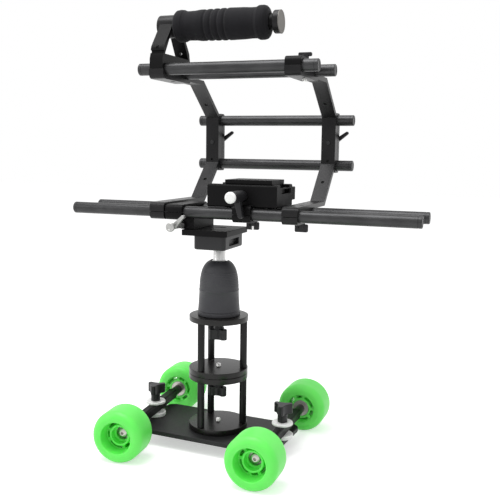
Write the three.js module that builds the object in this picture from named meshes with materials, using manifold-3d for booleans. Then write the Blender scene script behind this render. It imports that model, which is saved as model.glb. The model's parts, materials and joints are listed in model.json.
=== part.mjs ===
// A skater dolly for a camera: a deck on four skate wheels, a two-tier riser, a ball head,
// and a rod rig with two C-shaped arms and a top handle.
// Lengths are millimetres and +Z is up. +X points from the lens end to the operator's end.
// Facing the lens end, left is towards -Y.
import * as THREE from 'three';
import { mergeVertices } from 'three/addons/utils/BufferGeometryUtils.js';
import Module from 'manifold-3d';

const wasm = await Module();
wasm.setup();

// Clearances and shared small sizes
const seatGap = 0.3;        // between two pieces that rest on each other
const boreGap = 0.35;       // round a rod or shaft in its bore, by radius
const threadGap = 0.3;      // round a screw in its hole, by radius
const overrun = 2;          // how far a cut runs past the face that it opens
const fullTurn = 2 * Math.PI;
const degree = Math.PI / 180;

// Wheels
const wheelRadius = 33.5;
const wheelWidth = 43.5;
const wheelLip = 8.9;           // radius of the rounded shoulders
const wellRadius = 20.2;        // mouth of the deep well in the outer face
const wellFloorRadius = 18.9;
const wellDepth = 16;
const hubDepth = 12;            // of the hub's rim under the outer face
const hubOuterRadius = 13.8;
const hubInnerRadius = 11;
const throatRadius = 8.5;       // of the lip that keeps the bearings in
const throatDepth = 4.5;
const coreRecess = 3.2;         // how far the core sits in from the inner face
const pocketInnerRadius = 14.2;
const pocketOuterRadius = 18.2;
const longPocketTurn = 64 * degree;
const shortPocketTurn = 30 * degree;
const pocketPairs = 3;
const pocketPlace = 5 * degree; // of the first long pocket round the axle
const wheelTurns = {            // how far each wheel has rolled at rest
  front_left: 0,
  front_right: -45 * degree,
  rear_left: 30 * degree,
  rear_right: -15 * degree,
};
const bearingRadius = 11;
const bearingBore = 4;
const bearingWidth = 7;
const bearingSpacer = 1;
const spacerRadius = 6.2;

// Axles and truck bars
const boltRadius = 3.9;
const boltHeadRadius = 6.6;
const boltHeadHeight = 5.3;
const boltRecessRadius = 1.8;
const boltRecessDepth = 2;
const boltGrip = 18;            // length of thread in the bar's end
const track = 204;              // between the middles of a pair of wheels
const barWidth = 13;
const barHeight = 12;
const barLength = 124;
const barCorner = 2.5;
const padRadius = 14;
const stubRadius = 5.7;         // of the bar's round ends, out to the bearings

// Deck
const deckLength = 204;
const deckWidth = 104;
const deckThickness = 6;
const deckCorner = 14;
const deckTop = 22;
const wheelbase = 190;
const deckShift = -2.3;         // of the deck's middle from the riser's axis, along the deck
const deckTurn = -3.8 * degree;
const frontSteer = 7.1 * degree;
const rearSteer = 3.4 * degree;

// Pivot knobs
const washerRadius = 13.6;
const washerHeight = 3.2;
const pivotStudRadius = 4;
const pivotNeckRadius = 6.4;
const pivotNeckHeight = 10.5;
const pivotKnobHeight = 13;

// Three-lobed knobs
const lobeCount = 3;
const lobeRadius = 5.4;
const lobeReach = 8.2;
const pivotLobeTurn = 30 * degree;
const riserLobeTurn = 90 * degree;

// Riser
const plateRadius = 39;
const plateThickness = 7.2;
const postRadius = 4.7;
const postCircle = 33.6;
const postTurn = 10 * degree;
const postCount = 3;
const lowerPostHeight = 60.6;
const upperPostHeight = 62.5;
const quarterStudRadius = 3.1;
const studShowing = 3.6;
const knobNeckRadius = 6;
const midKnobNeck = 12;
const midKnobHeight = 12.6;
const topKnobNeck = 11.5;
const topKnobHeight = 14.5;
const headScrewDepth = 12;
const deckScrewHead = 6;
const deckScrewHeadHeight = 2.6;

// Ball head
const headHeight = 72.5;
const collarRadius = 28.7;
const headWaistRadius = 25.8;
const shoulderHeight = 36;
const headSides = [             // radius and height over the foot, between foot and shoulder
  [28.7, 5],
  [27, 5.4],
  [27, 6.1],
  [27.6, 6.6],
  [27.2, 8],
  [26.7, 12.6],
  [26.2, 17],
  [26, 24],
];
const crownInset = 7;           // radius of the flat middle that the crown curves up to
const crownShare = 2 / 2.3;     // power of the crown's curve, 1 for an ellipse
const crownSteps = 5;
const ballRadius = 15.5;
const ballDrop = 13.5;          // from the top of the head down to the ball's centre
const ballGap = 0.35;
const stemRadius = 8.4;
const mouthRadius = 11.5;
const stemShowing = 16;
const notchRise = 3;            // of the drop notch's floor over the ball's centre
const lockHeight = 26;
const lockShaftRadius = 3.6;
const lockShaftLength = 9;
const lockKnobRadius = 10.5;
const lockKnobLength = 13;
const lockTurn = 110 * degree;

// Quick clamp and base plate
const clampLength = 43.3;
const clampShift = -1.15;
const clampDepth = 66;
const clampHeight = 17.6;
const clampCorner = 5;
const clampBevel = 2;
const clampPocketLength = 34;
const clampPocketHeight = 8.5;
const clampPocketDepth = 5;
const basePlateLength = 62;
const basePlateDepth = 74;
const basePlateHeight = 7.5;
const basePlateShift = -6;
const slotLength = 19;
const slotWidth = 7;
const slotCorner = 3.4;
const slotMiddle = -4.5;
const slotSide = 10.5;

// Rods
const rodRadius = 7.5;
const rodChamfer = 0.8;
const rodSpacing = 60;
const lowerRodLength = 460;
const leftRodMiddle = 32.6;
const rightRodMiddle = 33.8;
const rodFloor = 14.4;            // from the base plate's top up to the underside of the lower rods
const topRodRise = 178.7;       // from the lower rods up to the top rods
const topRodLength = 235;
const topLeftRodMiddle = 18.9;
const topRightRodMiddle = 24.3;
const sideRodLength = 235;
const sideRodMiddle = 22.5;
const sideRodSpacing = 63.5;

// Clamps on the rods
const clampWall = 4;            // past the rod, at the end of a clamp
const clampRoof = 4.4;          // over the rod
const clampFloor = 2.4;         // under the rod
const clampRound = 7;           // corner radius of a clamp's nose
const slitWidth = 1;
const screwRadius = 3;

// Rod base
const rodBaseLength = 16.5;
const rodBaseStart = -38.5;
const rodBaseDepth = 64;
const ringLength = 23;
const ringOverlap = 3.5;        // of the ring with the pedestal, along the rods
const ringRoof = 2.2;
const leverBossRadius = 5;
const leverBossLength = 6;
const leverHeight = 5.5;        // of the lever's axis over the base plate
const leverPlace = -37.5;       // of the lever's axis along the rods

// Silver clamp lever
const silverBarrelRadius = 3.6;
const silverBarrelLength = 33;
const silverArmLength = 20.5;
const silverArmWidth = 6.5;
const silverArmThickness = 6;
const silverArmTurn = 44 * degree;
const silverCapRadius = 5.7;
const silverCapLength = 2.4;

// C-shaped arms
const armWidth = 20;
const armThickness = 6;
const frontArmStart = -80.2;
const rearArmStart = 97;
const armInset = 57;            // bottom bend, out from the rod's centre line
const armReach = 109.5;         // upright, out from the rod's centre line
const armTopInset = 52.5;
const lowerSlantRise = 49.4;
const uprightRise = 64.8;
const armHoleRadius = 2.6;
const lowerHoleShare = 0.5;     // of the way up the lower slant
const upperHoleShare = 0.41;    // of the way up the upper slant
const uprightHoleRadius = 2;
const uprightHoleDepth = 2.5;
const uprightHoleRise = 4;      // over the lower bend
const sideWall = 2.6;           // round the side rods
const sideGap = 1;              // between the upright and a side rod
const sideRodDrop = 3;          // of the side rods' middle below the upright's middle

// Wing screws
const wingSpan = 17;
const wingThickness = 3.6;
const wingHeight = 10;
const wingHubRadius = 4.6;
const wingHubHeight = 6.5;
const topWingHeight = 4.8;
const topWingHubHeight = 5.2;
const screwShowing = 3.5;
const screwReach = 12;          // of a lower screw past the underside of the rods
const screwShift = 3.5;         // of an arm's screw from the clamp's middle, along the rods
const platformScrewShift = 1;

// Side clamp levers
const sideHubRadius = 6;
const sideHubLength = 9;
const sideArmLength = 27;
const sideArmWidth = 7;
const sideArmThickness = 5;
const sideArmTurn = 36 * degree;

// Top handle
const handleRise = 56.4;        // from the top rods up to the handle's axis
const bracketStart = -79;
const bracketWidth = 18;
const hubRadius = 13;
const hubReach = 4.7;           // of the hub past the legs, to the front
const legOutline = [            // in from the clamp's nose, and share of the handle's rise
  [0, 0.204],
  [2, 0.31],
  [4, 0.47],
  [7.6, 0.559],
  [23, 0.895],
];
const windowFoot = 34.5;        // half width of the window at its foot
const windowLean = 32 * degree;
const tubeSeat = 4;             // of the tube's socket in from the bracket's face
const jawRoof = 3.5;
const crossRoof = 11;
const legHoleRadius = 2.2;
const legHoleRise = 26.5;
const legGrooveRise = 20.7;
const legGrooveHeight = 3.4;
const legGrooveFloor = 5.5;     // in from the clamp's nose
const tubeRadius = 9.5;
const gripLength = 131;
const gripEndRadius = 18.7;
const gripWaistRadius = 17.4;
const gripPalmRadius = 18.3;
const gripRearRadius = 19.4;
const gripEndLength = 20;
const gripFaceShare = 0.78;     // of the radius, at the grip's front face
const gripTailShare = 0.7;      // of the radius, at the grip's rear face
const frontBulgeShares = [0.3, 0.75, 1.1];  // of the end's length, where the bulge starts, ends and fades
const rearBulgeShares = [1.2, 0.7, 0.3];
const gripRingWidth = 2.6;
const gripRingDepth = 1.4;
const gripRingPitch = 9.2;
const gripRingStart = 42.9;
const gripRings = 4;
const endCapRadius = 14.3;
const endCapLength = 3.8;
const endCapNeck = 5.7;

// Camera platform
const platformLength = 92;
const platformDepth = 64;
const platformHeight = 28.5;
const platformStart = -4;
const platformLift = 0.8;       // of the body over the rods
const platformCorner = 3;
const grooveWidth = 38;
const grooveDepth = 4;
const platformRingStart = 33;
const platformRingLength = 24;
const sidePocketLength = 38;
const sidePocketHeight = 6;
const sidePocketDepth = 6;
const sidePocketRise = 17.4;
const sidePocketSide = 6;       // of the pocket's middle from the platform's middle
const latchLength = 14;
const latchHeight = 17;
const latchShowing = 17;        // of the latch past the platform's far side
const latchDepth = 8;           // of the latch inside the platform
const latchInset = 1;           // from the platform's rear face
const latchRise = 7.5;
const latchTravel = 3;
const cameraPlateLength = 62;
const cameraPlateDepth = 50;
const cameraPlateHeight = 5.4;
const cameraPlateStart = 17;

// Black ratchet lever
const ratchetBarrelRadius = 7.4;
const ratchetBarrelLength = 38;
const ratchetPinRadius = 3;
const ratchetPinDepth = 8;
const ratchetArmLength = 27;
const ratchetArmWidth = 9;
const ratchetArmThickness = 8;
const ratchetArmTurn = -77 * degree;
const ratchetCapRadius = 7;
const ratchetCapLength = 2.6;
const ratchetPlace = 42.5;       // along the platform
const ratchetRise = 14.5;       // over the platform's underside

// Facets round a full circle
const wheelFacets = 24;
const plateFacets = 28;
const roundFacets = 16;
const holeFacets = 8;
const knobFacets = 12;
const boltFacets = 6;

// Heights that follow from the sizes above
const barBottom = deckTop + seatGap + (wheelRadius - deckTop - seatGap - barHeight / 2);
const barTop = barBottom + barHeight;
const washerBottom = barTop + seatGap;
const washerTop = washerBottom + washerHeight;
const deckScrewHeadTop = deckTop - deckThickness + seatGap + deckScrewHeadHeight;
const bottomPlateTop = deckTop + seatGap + plateThickness;
const lowerMidBottom = bottomPlateTop + lowerPostHeight + 2 * seatGap;
const upperMidBottom = lowerMidBottom + plateThickness + seatGap;
const midPlateTop = upperMidBottom + plateThickness;
const topPlateBottom = midPlateTop + upperPostHeight + 2 * seatGap;
const topPlateTop = topPlateBottom + plateThickness;
const headBottom = topPlateTop + seatGap;
const headTop = headBottom + headHeight;
const ballCentre = headTop - ballDrop;
const clampBottom = headTop + stemShowing;
const clampTop = clampBottom + clampHeight;
const basePlateBottom = clampTop + seatGap;
const basePlateTop = basePlateBottom + basePlateHeight;
const lowerRodHeight = basePlateTop + rodFloor + rodRadius;
const topRodHeight = lowerRodHeight + topRodRise;
const handleHeight = topRodHeight + handleRise;
const rodSide = rodSpacing / 2;
const clampNose = rodSide + rodRadius + clampWall;
const boreRadius = rodRadius + boreGap;
const screwHole = screwRadius + threadGap;

// Colours and finishes
const finishes = {
  anodised: { color: 0x1b1b1d, roughness: 0.45, metalness: 0.6 },
  rodBlack: { color: 0x3a3a3d, roughness: 0.35, metalness: 0.7 },
  painted: { color: 0x232325, roughness: 0.55, metalness: 0.2 },
  moulded: { color: 0x2b2b2e, roughness: 0.6, metalness: 0 },
  knob: { color: 0x18181a, roughness: 0.5, metalness: 0 },
  urethane: { color: 0x3df03a, roughness: 0.35, metalness: 0 },
  nylon: { color: 0xf0f0ee, roughness: 0.5, metalness: 0 },
  steel: { color: 0xc8c8c8, roughness: 0.3, metalness: 1 },
  foam: { color: 0x161617, roughness: 0.95, metalness: 0 },
};

// A closed solid from a three.js geometry, its shared corners merged
function solidOf(geometry) {
  const bare = geometry.clone();
  bare.deleteAttribute('normal');
  bare.deleteAttribute('uv');
  const merged = mergeVertices(bare);
  const index = merged.index.array;
  const corners = [];
  for (let i = 0; i < index.length; i += 3) {
    const [a, b, c] = [index[i], index[i + 1], index[i + 2]];
    if (a !== b && b !== c && c !== a) corners.push(a, b, c);
  }
  return new wasm.Manifold(new wasm.Mesh({
    numProp: 3,
    vertProperties: new Float32Array(merged.attributes.position.array),
    triVerts: new Uint32Array(corners),
  }));
}

function geometryOf(solid) {
  const mesh = solid.getMesh();
  const geometry = new THREE.BufferGeometry();
  geometry.setAttribute('position', new THREE.BufferAttribute(mesh.vertProperties, 3));
  geometry.setIndex(new THREE.BufferAttribute(mesh.triVerts, 1));
  geometry.computeVertexNormals();
  return geometry;
}

function joined(...solids) {
  return solids.reduce((whole, next) => whole.add(next));
}

function cut(body, ...tools) {
  return tools.reduce((left, tool) => left.subtract(tool), body);
}

// Basic shapes

function block(x0, x1, y0, y1, z0, z1) {
  const geometry = new THREE.BoxGeometry(x1 - x0, y1 - y0, z1 - z0);
  return solidOf(geometry.translate((x0 + x1) / 2, (y0 + y1) / 2, (z0 + z1) / 2));
}

// A round bar along one axis, through the point given by its other two coordinates
function bar(axis, radius, from, to, first = 0, second = 0, facets = roundFacets) {
  const geometry = new THREE.CylinderGeometry(radius, radius, to - from, facets);
  const middle = (from + to) / 2;
  if (axis === 'x') geometry.rotateZ(-Math.PI / 2).translate(middle, first, second);
  if (axis === 'y') geometry.translate(first, middle, second);
  if (axis === 'z') geometry.rotateX(Math.PI / 2).translate(first, second, middle);
  return solidOf(geometry);
}

// A profile of [radius, place] points turned about an axis
function turned(axis, profile, facets, first = 0, second = 0) {
  const points = profile.map(([radius, place]) => new THREE.Vector2(radius, place));
  const geometry = new THREE.LatheGeometry(points, facets);
  if (axis === 'x') geometry.rotateZ(-Math.PI / 2).translate(0, first, second);
  if (axis === 'y') geometry.translate(first, 0, second);
  if (axis === 'z') geometry.rotateX(Math.PI / 2).translate(first, second, 0);
  const solid = solidOf(geometry);
  return solid.volume() < 0 ? solidOf(flipped(geometry)) : solid;
}

function flipped(geometry) {
  const index = geometry.index.array;
  for (let i = 0; i < index.length; i += 3) {
    [index[i], index[i + 1]] = [index[i + 1], index[i]];
  }
  return geometry;
}

// An outline of [y, z] points pushed along X
function slab(outline, from, to, curveSegments = 3) {
  const shape = outline instanceof THREE.Shape ? outline : shapeOf(outline);
  const geometry = new THREE.ExtrudeGeometry(shape, {
    depth: to - from, bevelEnabled: false, curveSegments,
  });
  const turn = new THREE.Matrix4().makeBasis(
    new THREE.Vector3(0, 1, 0), new THREE.Vector3(0, 0, 1), new THREE.Vector3(1, 0, 0),
  );
  return solidOf(geometry.applyMatrix4(turn).translate(from, 0, 0));
}

// An outline of [x, y] points pushed up along Z
function plate(outline, from, to, curveSegments = 3) {
  const shape = outline instanceof THREE.Shape ? outline : shapeOf(outline);
  const geometry = new THREE.ExtrudeGeometry(shape, {
    depth: to - from, bevelEnabled: false, curveSegments,
  });
  return solidOf(geometry.translate(0, 0, from));
}

function shapeOf(points) {
  return new THREE.Shape(points.map(([u, v]) => new THREE.Vector2(u, v)));
}

function roundedRectangle(u0, u1, v0, v1, corner) {
  const shape = new THREE.Shape();
  shape.moveTo(u0 + corner, v0);
  shape.lineTo(u1 - corner, v0);
  shape.absarc(u1 - corner, v0 + corner, corner, -Math.PI / 2, 0);
  shape.lineTo(u1, v1 - corner);
  shape.absarc(u1 - corner, v1 - corner, corner, 0, Math.PI / 2);
  shape.lineTo(u0 + corner, v1);
  shape.absarc(u0 + corner, v1 - corner, corner, Math.PI / 2, Math.PI);
  shape.lineTo(u0, v0 + corner);
  shape.absarc(u0 + corner, v0 + corner, corner, Math.PI, 1.5 * Math.PI);
  return shape;
}

function arcPoints(u, v, radius, from, to, steps) {
  const points = [];
  for (let i = 0; i <= steps; i += 1) {
    const angle = from + (to - from) * (i / steps);
    points.push([u + radius * Math.cos(angle), v + radius * Math.sin(angle)]);
  }
  return points;
}

function turnedBy(solid, axis, angle, centre = [0, 0, 0]) {
  const geometry = geometryOf(solid);
  geometry.translate(-centre[0], -centre[1], -centre[2]);
  if (axis === 'y') geometry.rotateY(angle);
  if (axis === 'z') geometry.rotateZ(angle);
  return solidOf(geometry.translate(...centre));
}

function piece(name, solid, finish) {
  const mesh = new THREE.Mesh(geometryOf(solid), new THREE.MeshStandardMaterial(finishes[finish]));
  mesh.name = name;
  return mesh;
}

// Wheels turn about the local Y axis, with the outer face towards -Y

function wheelSolid() {
  const face = wheelWidth / 2;
  const tread = face - wheelLip;
  const shoulder = wheelRadius - wheelLip;
  const coreFace = face - coreRecess;
  const lipFace = coreFace - 2 * bearingWidth - bearingSpacer - seatGap;
  const seat = bearingRadius + boreGap;
  const profile = [
    [seat, lipFace],
    [throatRadius, lipFace],
    [throatRadius, lipFace - throatDepth],
    [hubInnerRadius, lipFace - throatDepth],
    [hubInnerRadius, hubDepth - face],
    [hubOuterRadius, hubDepth - face],
    [hubOuterRadius, wellDepth - face],
    [wellFloorRadius, wellDepth - face],
    [wellRadius, -face],
    ...arcPoints(shoulder, -tread, wheelLip, -Math.PI / 2, 0, 3),
    ...arcPoints(shoulder, tread, wheelLip, 0, Math.PI / 2, 3),
    [wellRadius, face - coreRecess / 2],
    [wellRadius - coreRecess / 2, coreFace],
    [seat, coreFace],
    [seat, lipFace],
  ];
  let solid = turned('y', profile, wheelFacets);
  const step = fullTurn / pocketPairs;
  for (let i = 0; i < pocketPairs; i += 1) {
    const place = pocketPlace + i * step;
    solid = solid.subtract(pocketTool(place, longPocketTurn));
    solid = solid.subtract(pocketTool(place + step / 2, shortPocketTurn));
  }
  return solid;
}

// One curved pocket through the web between hub and rim
function pocketTool(middle, turn) {
  const from = wellDepth - wheelWidth / 2 - overrun;
  const to = wheelWidth / 2 - coreRecess + overrun;
  const outline = [
    ...arcPoints(0, 0, pocketOuterRadius, middle - turn / 2, middle + turn / 2, 2),
    ...arcPoints(0, 0, pocketInnerRadius, middle + turn / 2, middle - turn / 2, 2),
  ];
  const geometry = new THREE.ExtrudeGeometry(shapeOf(outline), { depth: to - from, bevelEnabled: false });
  geometry.rotateX(Math.PI / 2).translate(0, to, 0);
  return solidOf(geometry);
}

// Two ball bearings with the spacer between them, in the core's seat
function bearingSolid() {
  const inner = wheelWidth / 2 - coreRecess;
  const outer = inner - 2 * bearingWidth - bearingSpacer;
  const profile = [
    [bearingBore, outer],
    [bearingRadius, outer],
    [bearingRadius, outer + bearingWidth],
    [spacerRadius, outer + bearingWidth],
    [spacerRadius, inner - bearingWidth],
    [bearingRadius, inner - bearingWidth],
    [bearingRadius, inner],
    [bearingBore, inner],
    [bearingBore, outer],
  ];
  return turned('y', profile, roundFacets);
}

// The bolt runs in from the outer face through the bearings into the truck bar's end
function boltSolid() {
  const wellFloor = wheelWidth / 2 - coreRecess - 2 * bearingWidth - bearingSpacer;
  const headInner = wellFloor - seatGap;
  const shankEnd = (track - barLength) / 2 + boltGrip;
  const shank = bar('y', boltRadius - threadGap, headInner - 1 / 2, shankEnd, 0, 0, holeFacets);
  const face = headInner - boltHeadHeight;
  const head = bar('y', boltHeadRadius, face, headInner);
  const recess = bar('y', boltRecessRadius, face - overrun, face + boltRecessDepth, 0, 0, boltFacets);
  return cut(joined(shank, head), recess);
}

// The truck bar lies along local Y, with its pivot on local Z

function barSolid() {
  const end = barLength / 2;
  const middle = (barBottom + barTop) / 2;
  const section = roundedRectangle(-barWidth / 2, barWidth / 2, barBottom, barTop, barCorner);
  const body = turnedBy(slab(section, -end, end, 2), 'z', Math.PI / 2);
  const pad = bar('z', padRadius, deckTop + seatGap, barBottom + seatGap, 0, 0, plateFacets);
  const stubEnd = track / 2 - wheelWidth / 2 + coreRecess - 2 * seatGap;
  const stub = bar('y', stubRadius, -stubEnd, stubEnd, 0, middle);
  const boltHole = boltRadius + threadGap;
  const depth = boltGrip + seatGap;
  return cut(
    joined(body, pad, stub),
    bar('z', pivotStudRadius + threadGap, deckTop, barTop + overrun, 0, 0, roundFacets),
    bar('y', boltHole, -stubEnd - overrun, -end + depth, 0, middle, holeFacets),
    bar('y', boltHole, end - depth, stubEnd + overrun, 0, middle, holeFacets),
  );
}

// A three-lobed knob, its lobes between two heights
function lobes(from, to, turn) {
  let solid = bar('z', lobeReach - lobeRadius / 3, from, to, 0, 0, holeFacets);
  for (let i = 0; i < lobeCount; i += 1) {
    const angle = (i / lobeCount) * fullTurn + turn;
    const [x, y] = [lobeReach * Math.cos(angle), lobeReach * Math.sin(angle)];
    solid = solid.add(bar('z', lobeRadius, from, to, x, y, holeFacets));
  }
  return solid;
}

function pivotKnobSolid() {
  const neckTop = washerTop + seatGap + pivotNeckHeight;
  const foot = deckTop - deckThickness + seatGap;
  return joined(
    bar('z', pivotStudRadius, foot, neckTop, 0, 0, holeFacets),
    bar('z', pivotNeckRadius, washerTop + seatGap, neckTop + pivotKnobHeight / 2),
    lobes(neckTop, neckTop + pivotKnobHeight, pivotLobeTurn),
  );
}

function washerSolid() {
  return cut(
    bar('z', washerRadius, washerBottom, washerTop, 0, 0, plateFacets),
    bar('z', pivotStudRadius + threadGap, washerBottom - overrun, washerTop + overrun),
  );
}

function deckSolid() {
  const [halfLength, halfWidth] = [deckLength / 2, deckWidth / 2];
  const outline = roundedRectangle(-halfLength, halfLength, -halfWidth, halfWidth, deckCorner);
  const body = plate(outline, deckTop - deckThickness, deckTop, 4);
  const holes = [-1, 1].map((side) => bar(
    'z', pivotStudRadius + threadGap, deckTop - deckThickness - overrun, deckTop + overrun,
    (side * wheelbase) / 2, 0, roundFacets,
  ));
  const middle = bar(
    'z', quarterStudRadius + threadGap, deckTop - deckThickness - overrun, deckTop + overrun,
    -deckShift, 0, holeFacets,
  );
  const screwSeat = bar(
    'z', deckScrewHead + threadGap, deckTop - deckThickness - overrun, deckScrewHeadTop + seatGap,
    -deckShift, 0,
  );
  return cut(body, ...holes, middle, screwSeat);
}

// Riser: round plates held apart by posts

function riserPlate(bottom) {
  const hole = quarterStudRadius + threadGap;
  return cut(
    bar('z', plateRadius, bottom, bottom + plateThickness, 0, 0, plateFacets),
    bar('z', hole, bottom - overrun, bottom + plateThickness + overrun, 0, 0, holeFacets),
  );
}

function postSolid(index, bottom, height) {
  const angle = postTurn + (index / postCount) * fullTurn;
  const [x, y] = [postCircle * Math.cos(angle), postCircle * Math.sin(angle)];
  return bar('z', postRadius, bottom, bottom + height, x, y);
}

// The screw through the deck that holds the riser's bottom plate, its head sunk in the underside
function deckScrewSolid() {
  const foot = deckScrewHeadTop - deckScrewHeadHeight;
  return joined(
    bar('z', deckScrewHead, foot, deckScrewHeadTop),
    bar('z', quarterStudRadius, deckScrewHeadTop - seatGap, bottomPlateTop + studShowing, 0, 0, holeFacets),
  );
}

function riserKnob(underside, neck, height, studTop) {
  const neckBottom = underside - seatGap - neck;
  return joined(
    lobes(neckBottom - height, neckBottom, riserLobeTurn),
    bar('z', knobNeckRadius, neckBottom - height / 2, underside - seatGap),
    bar('z', quarterStudRadius, neckBottom, studTop, 0, 0, holeFacets),
  );
}

// Ball head: a bullet-shaped housing round a ball with a stem

function housingSolid() {
  const cavity = ballRadius + ballGap;
  const mouthRise = Math.sqrt(cavity ** 2 - mouthRadius ** 2);
  const crownHeight = headHeight - shoulderHeight;
  const shoulder = headBottom + shoulderHeight;
  const crown = arcPoints(0, 0, 1, 0, Math.PI / 2, crownSteps).slice(0, -1).map(([u, v]) => [
    crownInset + (headWaistRadius - crownInset) * u ** crownShare,
    shoulder + crownHeight * v ** crownShare,
  ]);
  const bowl = arcPoints(0, ballCentre, cavity, Math.asin(mouthRise / cavity), -Math.PI / 6, 4);
  const cup = ballCentre - cavity;
  const profile = [
    [0, headBottom],
    [collarRadius, headBottom],
    ...headSides.map(([radius, rise]) => [radius, headBottom + rise]),
    ...crown,
    [mouthRadius, headTop],
    ...bowl,
    [bowl[4][0], cup],
    [0, cup],
  ];
  const solid = turned('z', profile, plateFacets);
  const hole = quarterStudRadius + threadGap;
  const notchHalf = stemRadius + ballGap;
  return cut(
    solid,
    bar('z', hole, headBottom - overrun, headBottom + headScrewDepth, 0, 0, holeFacets),
    lockHole(),
    block(-notchHalf, notchHalf, 0, collarRadius, ballCentre + notchRise, headTop + overrun),
  );
}

function lockHole() {
  const from = headWaistRadius - lockShaftLength;
  const hole = bar('x', lockShaftRadius + threadGap, from, headWaistRadius + overrun,
    0, headBottom + lockHeight, holeFacets);
  return turnedBy(hole, 'z', lockTurn);
}

function lockKnobSolid() {
  const start = headWaistRadius + 2 * seatGap;
  const height = headBottom + lockHeight;
  const shaft = bar('x', lockShaftRadius, start - lockShaftLength + 2 * seatGap, start + lockKnobLength / 2,
    0, height, holeFacets);
  const grip = bar('x', lockKnobRadius, start + lockKnobLength / 4, start + lockKnobLength,
    0, height, knobFacets);
  return turnedBy(joined(shaft, grip), 'z', lockTurn);
}

function ballSolid() {
  const ball = solidOf(new THREE.SphereGeometry(ballRadius, roundFacets, 10)
    .rotateX(Math.PI / 2).translate(0, 0, ballCentre));
  return joined(ball, bar('z', stemRadius, ballCentre, clampBottom - seatGap));
}

// Quick clamp, base plate and rod base

function quickClampSolid() {
  const [x, y] = [clampLength / 2, clampDepth / 2];
  const outline = roundedRectangle(-x + clampBevel, x - clampBevel, -y + clampBevel, y - clampBevel,
    clampCorner - clampBevel);
  const geometry = new THREE.ExtrudeGeometry(outline, {
    depth: clampHeight - clampBevel, bevelThickness: clampBevel, bevelSize: clampBevel,
    bevelSegments: 2, curveSegments: 3,
  });
  const body = solidOf(geometry.translate(clampShift, 0, clampBottom + clampBevel));
  const [front, rear] = [clampShift - x, clampShift + x];
  const pocketMiddle = clampBottom + clampHeight / 2;
  return cut(
    body,
    block(front - overrun, rear + overrun, -y - overrun, y + overrun, clampTop, clampTop + clampBevel * 2),
    block(rear - clampPocketDepth, rear + overrun, -clampPocketLength / 2, clampPocketLength / 2,
      pocketMiddle - clampPocketHeight / 2, pocketMiddle + clampPocketHeight / 2),
  );
}

function basePlateSolid() {
  const half = basePlateLength / 2;
  const body = block(basePlateShift - half, basePlateShift + half, -basePlateDepth / 2, basePlateDepth / 2,
    basePlateBottom, basePlateTop);
  const slot = plate(
    roundedRectangle(slotMiddle - slotLength / 2, slotMiddle + slotLength / 2,
      slotSide - slotWidth / 2, slotSide + slotWidth / 2, slotCorner),
    basePlateBottom - overrun, basePlateTop + overrun,
  );
  return cut(body, slot);
}

// The outline of a clamp round both lower rods, as [y, z] points
function clampOutline(height, roof, floor) {
  const [low, high] = [height - rodRadius - floor, height + rodRadius + roof];
  return roundedRectangle(-clampNose, clampNose, low, high, Math.min(clampRound, (high - low) / 3));
}

function rodBores(height, from, to) {
  return [-rodSide, rodSide].map((side) => bar('x', boreRadius, from - overrun, to + overrun, side, height));
}

// A thin horizontal slit that lets a clamp close, from its left nose to the right rod
function clampSlit(height, from, to) {
  return block(from - overrun, to + overrun, -clampNose - overrun, rodSide, height - slitWidth / 2,
    height + slitWidth / 2);
}

function rodBaseSolid() {
  const ringEnd = rodBaseStart + ringOverlap;
  const ringStart = ringEnd - ringLength;
  const bottom = basePlateTop + seatGap;
  const top = lowerRodHeight - rodRadius - seatGap;
  const pedestal = block(rodBaseStart, rodBaseStart + rodBaseLength, -rodBaseDepth / 2, rodBaseDepth / 2,
    bottom, top);
  const ring = slab(clampOutline(lowerRodHeight, ringRoof, clampFloor), ringStart, ringEnd);
  const web = block(ringEnd - ringLength / 2, ringEnd + overrun, -rodSide / 2, rodSide / 2,
    bottom, lowerRodHeight);
  const bossEnd = -rodBaseDepth / 2 - leverBossLength / 2;
  const boss = bar('y', leverBossRadius, bossEnd, 0, leverPlace, basePlateTop + leverHeight);
  return cut(
    joined(pedestal, ring, web, boss),
    ...rodBores(lowerRodHeight, ringStart, ringEnd),
    clampSlit(lowerRodHeight, ringStart, ringEnd),
    bar('y', screwHole, bossEnd - overrun, -rodBaseDepth / 4,
      leverPlace, basePlateTop + leverHeight, holeFacets),
  );
}

// A lever on a barrel: the arm swings about the barrel's axis, which points to -Y
function leverArm(start, length, width, thickness, turn) {
  const outline = [
    ...arcPoints(0, 0, width / 2, Math.PI / 2, 1.5 * Math.PI, 4),
    ...arcPoints(length - width / 3, 0, width / 3, -Math.PI / 2, Math.PI / 2, 4),
  ];
  const geometry = new THREE.ExtrudeGeometry(shapeOf(outline), { depth: thickness, bevelEnabled: false });
  geometry.rotateZ(turn).rotateX(Math.PI / 2);
  return solidOf(geometry.translate(0, start + thickness, 0));
}

function silverLeverSolid() {
  const seat = -rodBaseDepth / 2 - leverBossLength / 2 - seatGap;
  const tip = seat - silverBarrelLength;
  const solid = joined(
    bar('y', screwRadius, seat - silverBarrelLength / 2, -rodBaseDepth / 4 - seatGap, 0, 0, holeFacets),
    bar('y', silverBarrelRadius, tip, seat),
    leverArm(tip + silverArmThickness, silverArmLength, silverArmWidth, silverArmThickness, silverArmTurn),
    bar('y', silverCapRadius, tip - silverCapLength, tip + silverCapLength / 2),
  );
  return moved(solid, leverPlace, 0, basePlateTop + leverHeight);
}

function moved(solid, x, y, z) {
  return solidOf(geometryOf(solid).translate(x, y, z));
}

// Rods

function rodSolid(length, middle, y, z) {
  const [from, to] = [middle - length / 2, middle + length / 2];
  const profile = [
    [0, from],
    [rodRadius - rodChamfer, from],
    [rodRadius, from + rodChamfer],
    [rodRadius, to - rodChamfer],
    [rodRadius - rodChamfer, to],
    [0, to],
  ];
  return turned('x', profile, roundFacets, y, z);
}

// C-shaped arms: a flat bar bent round the camera's far side, with a clamp at each end

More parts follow.
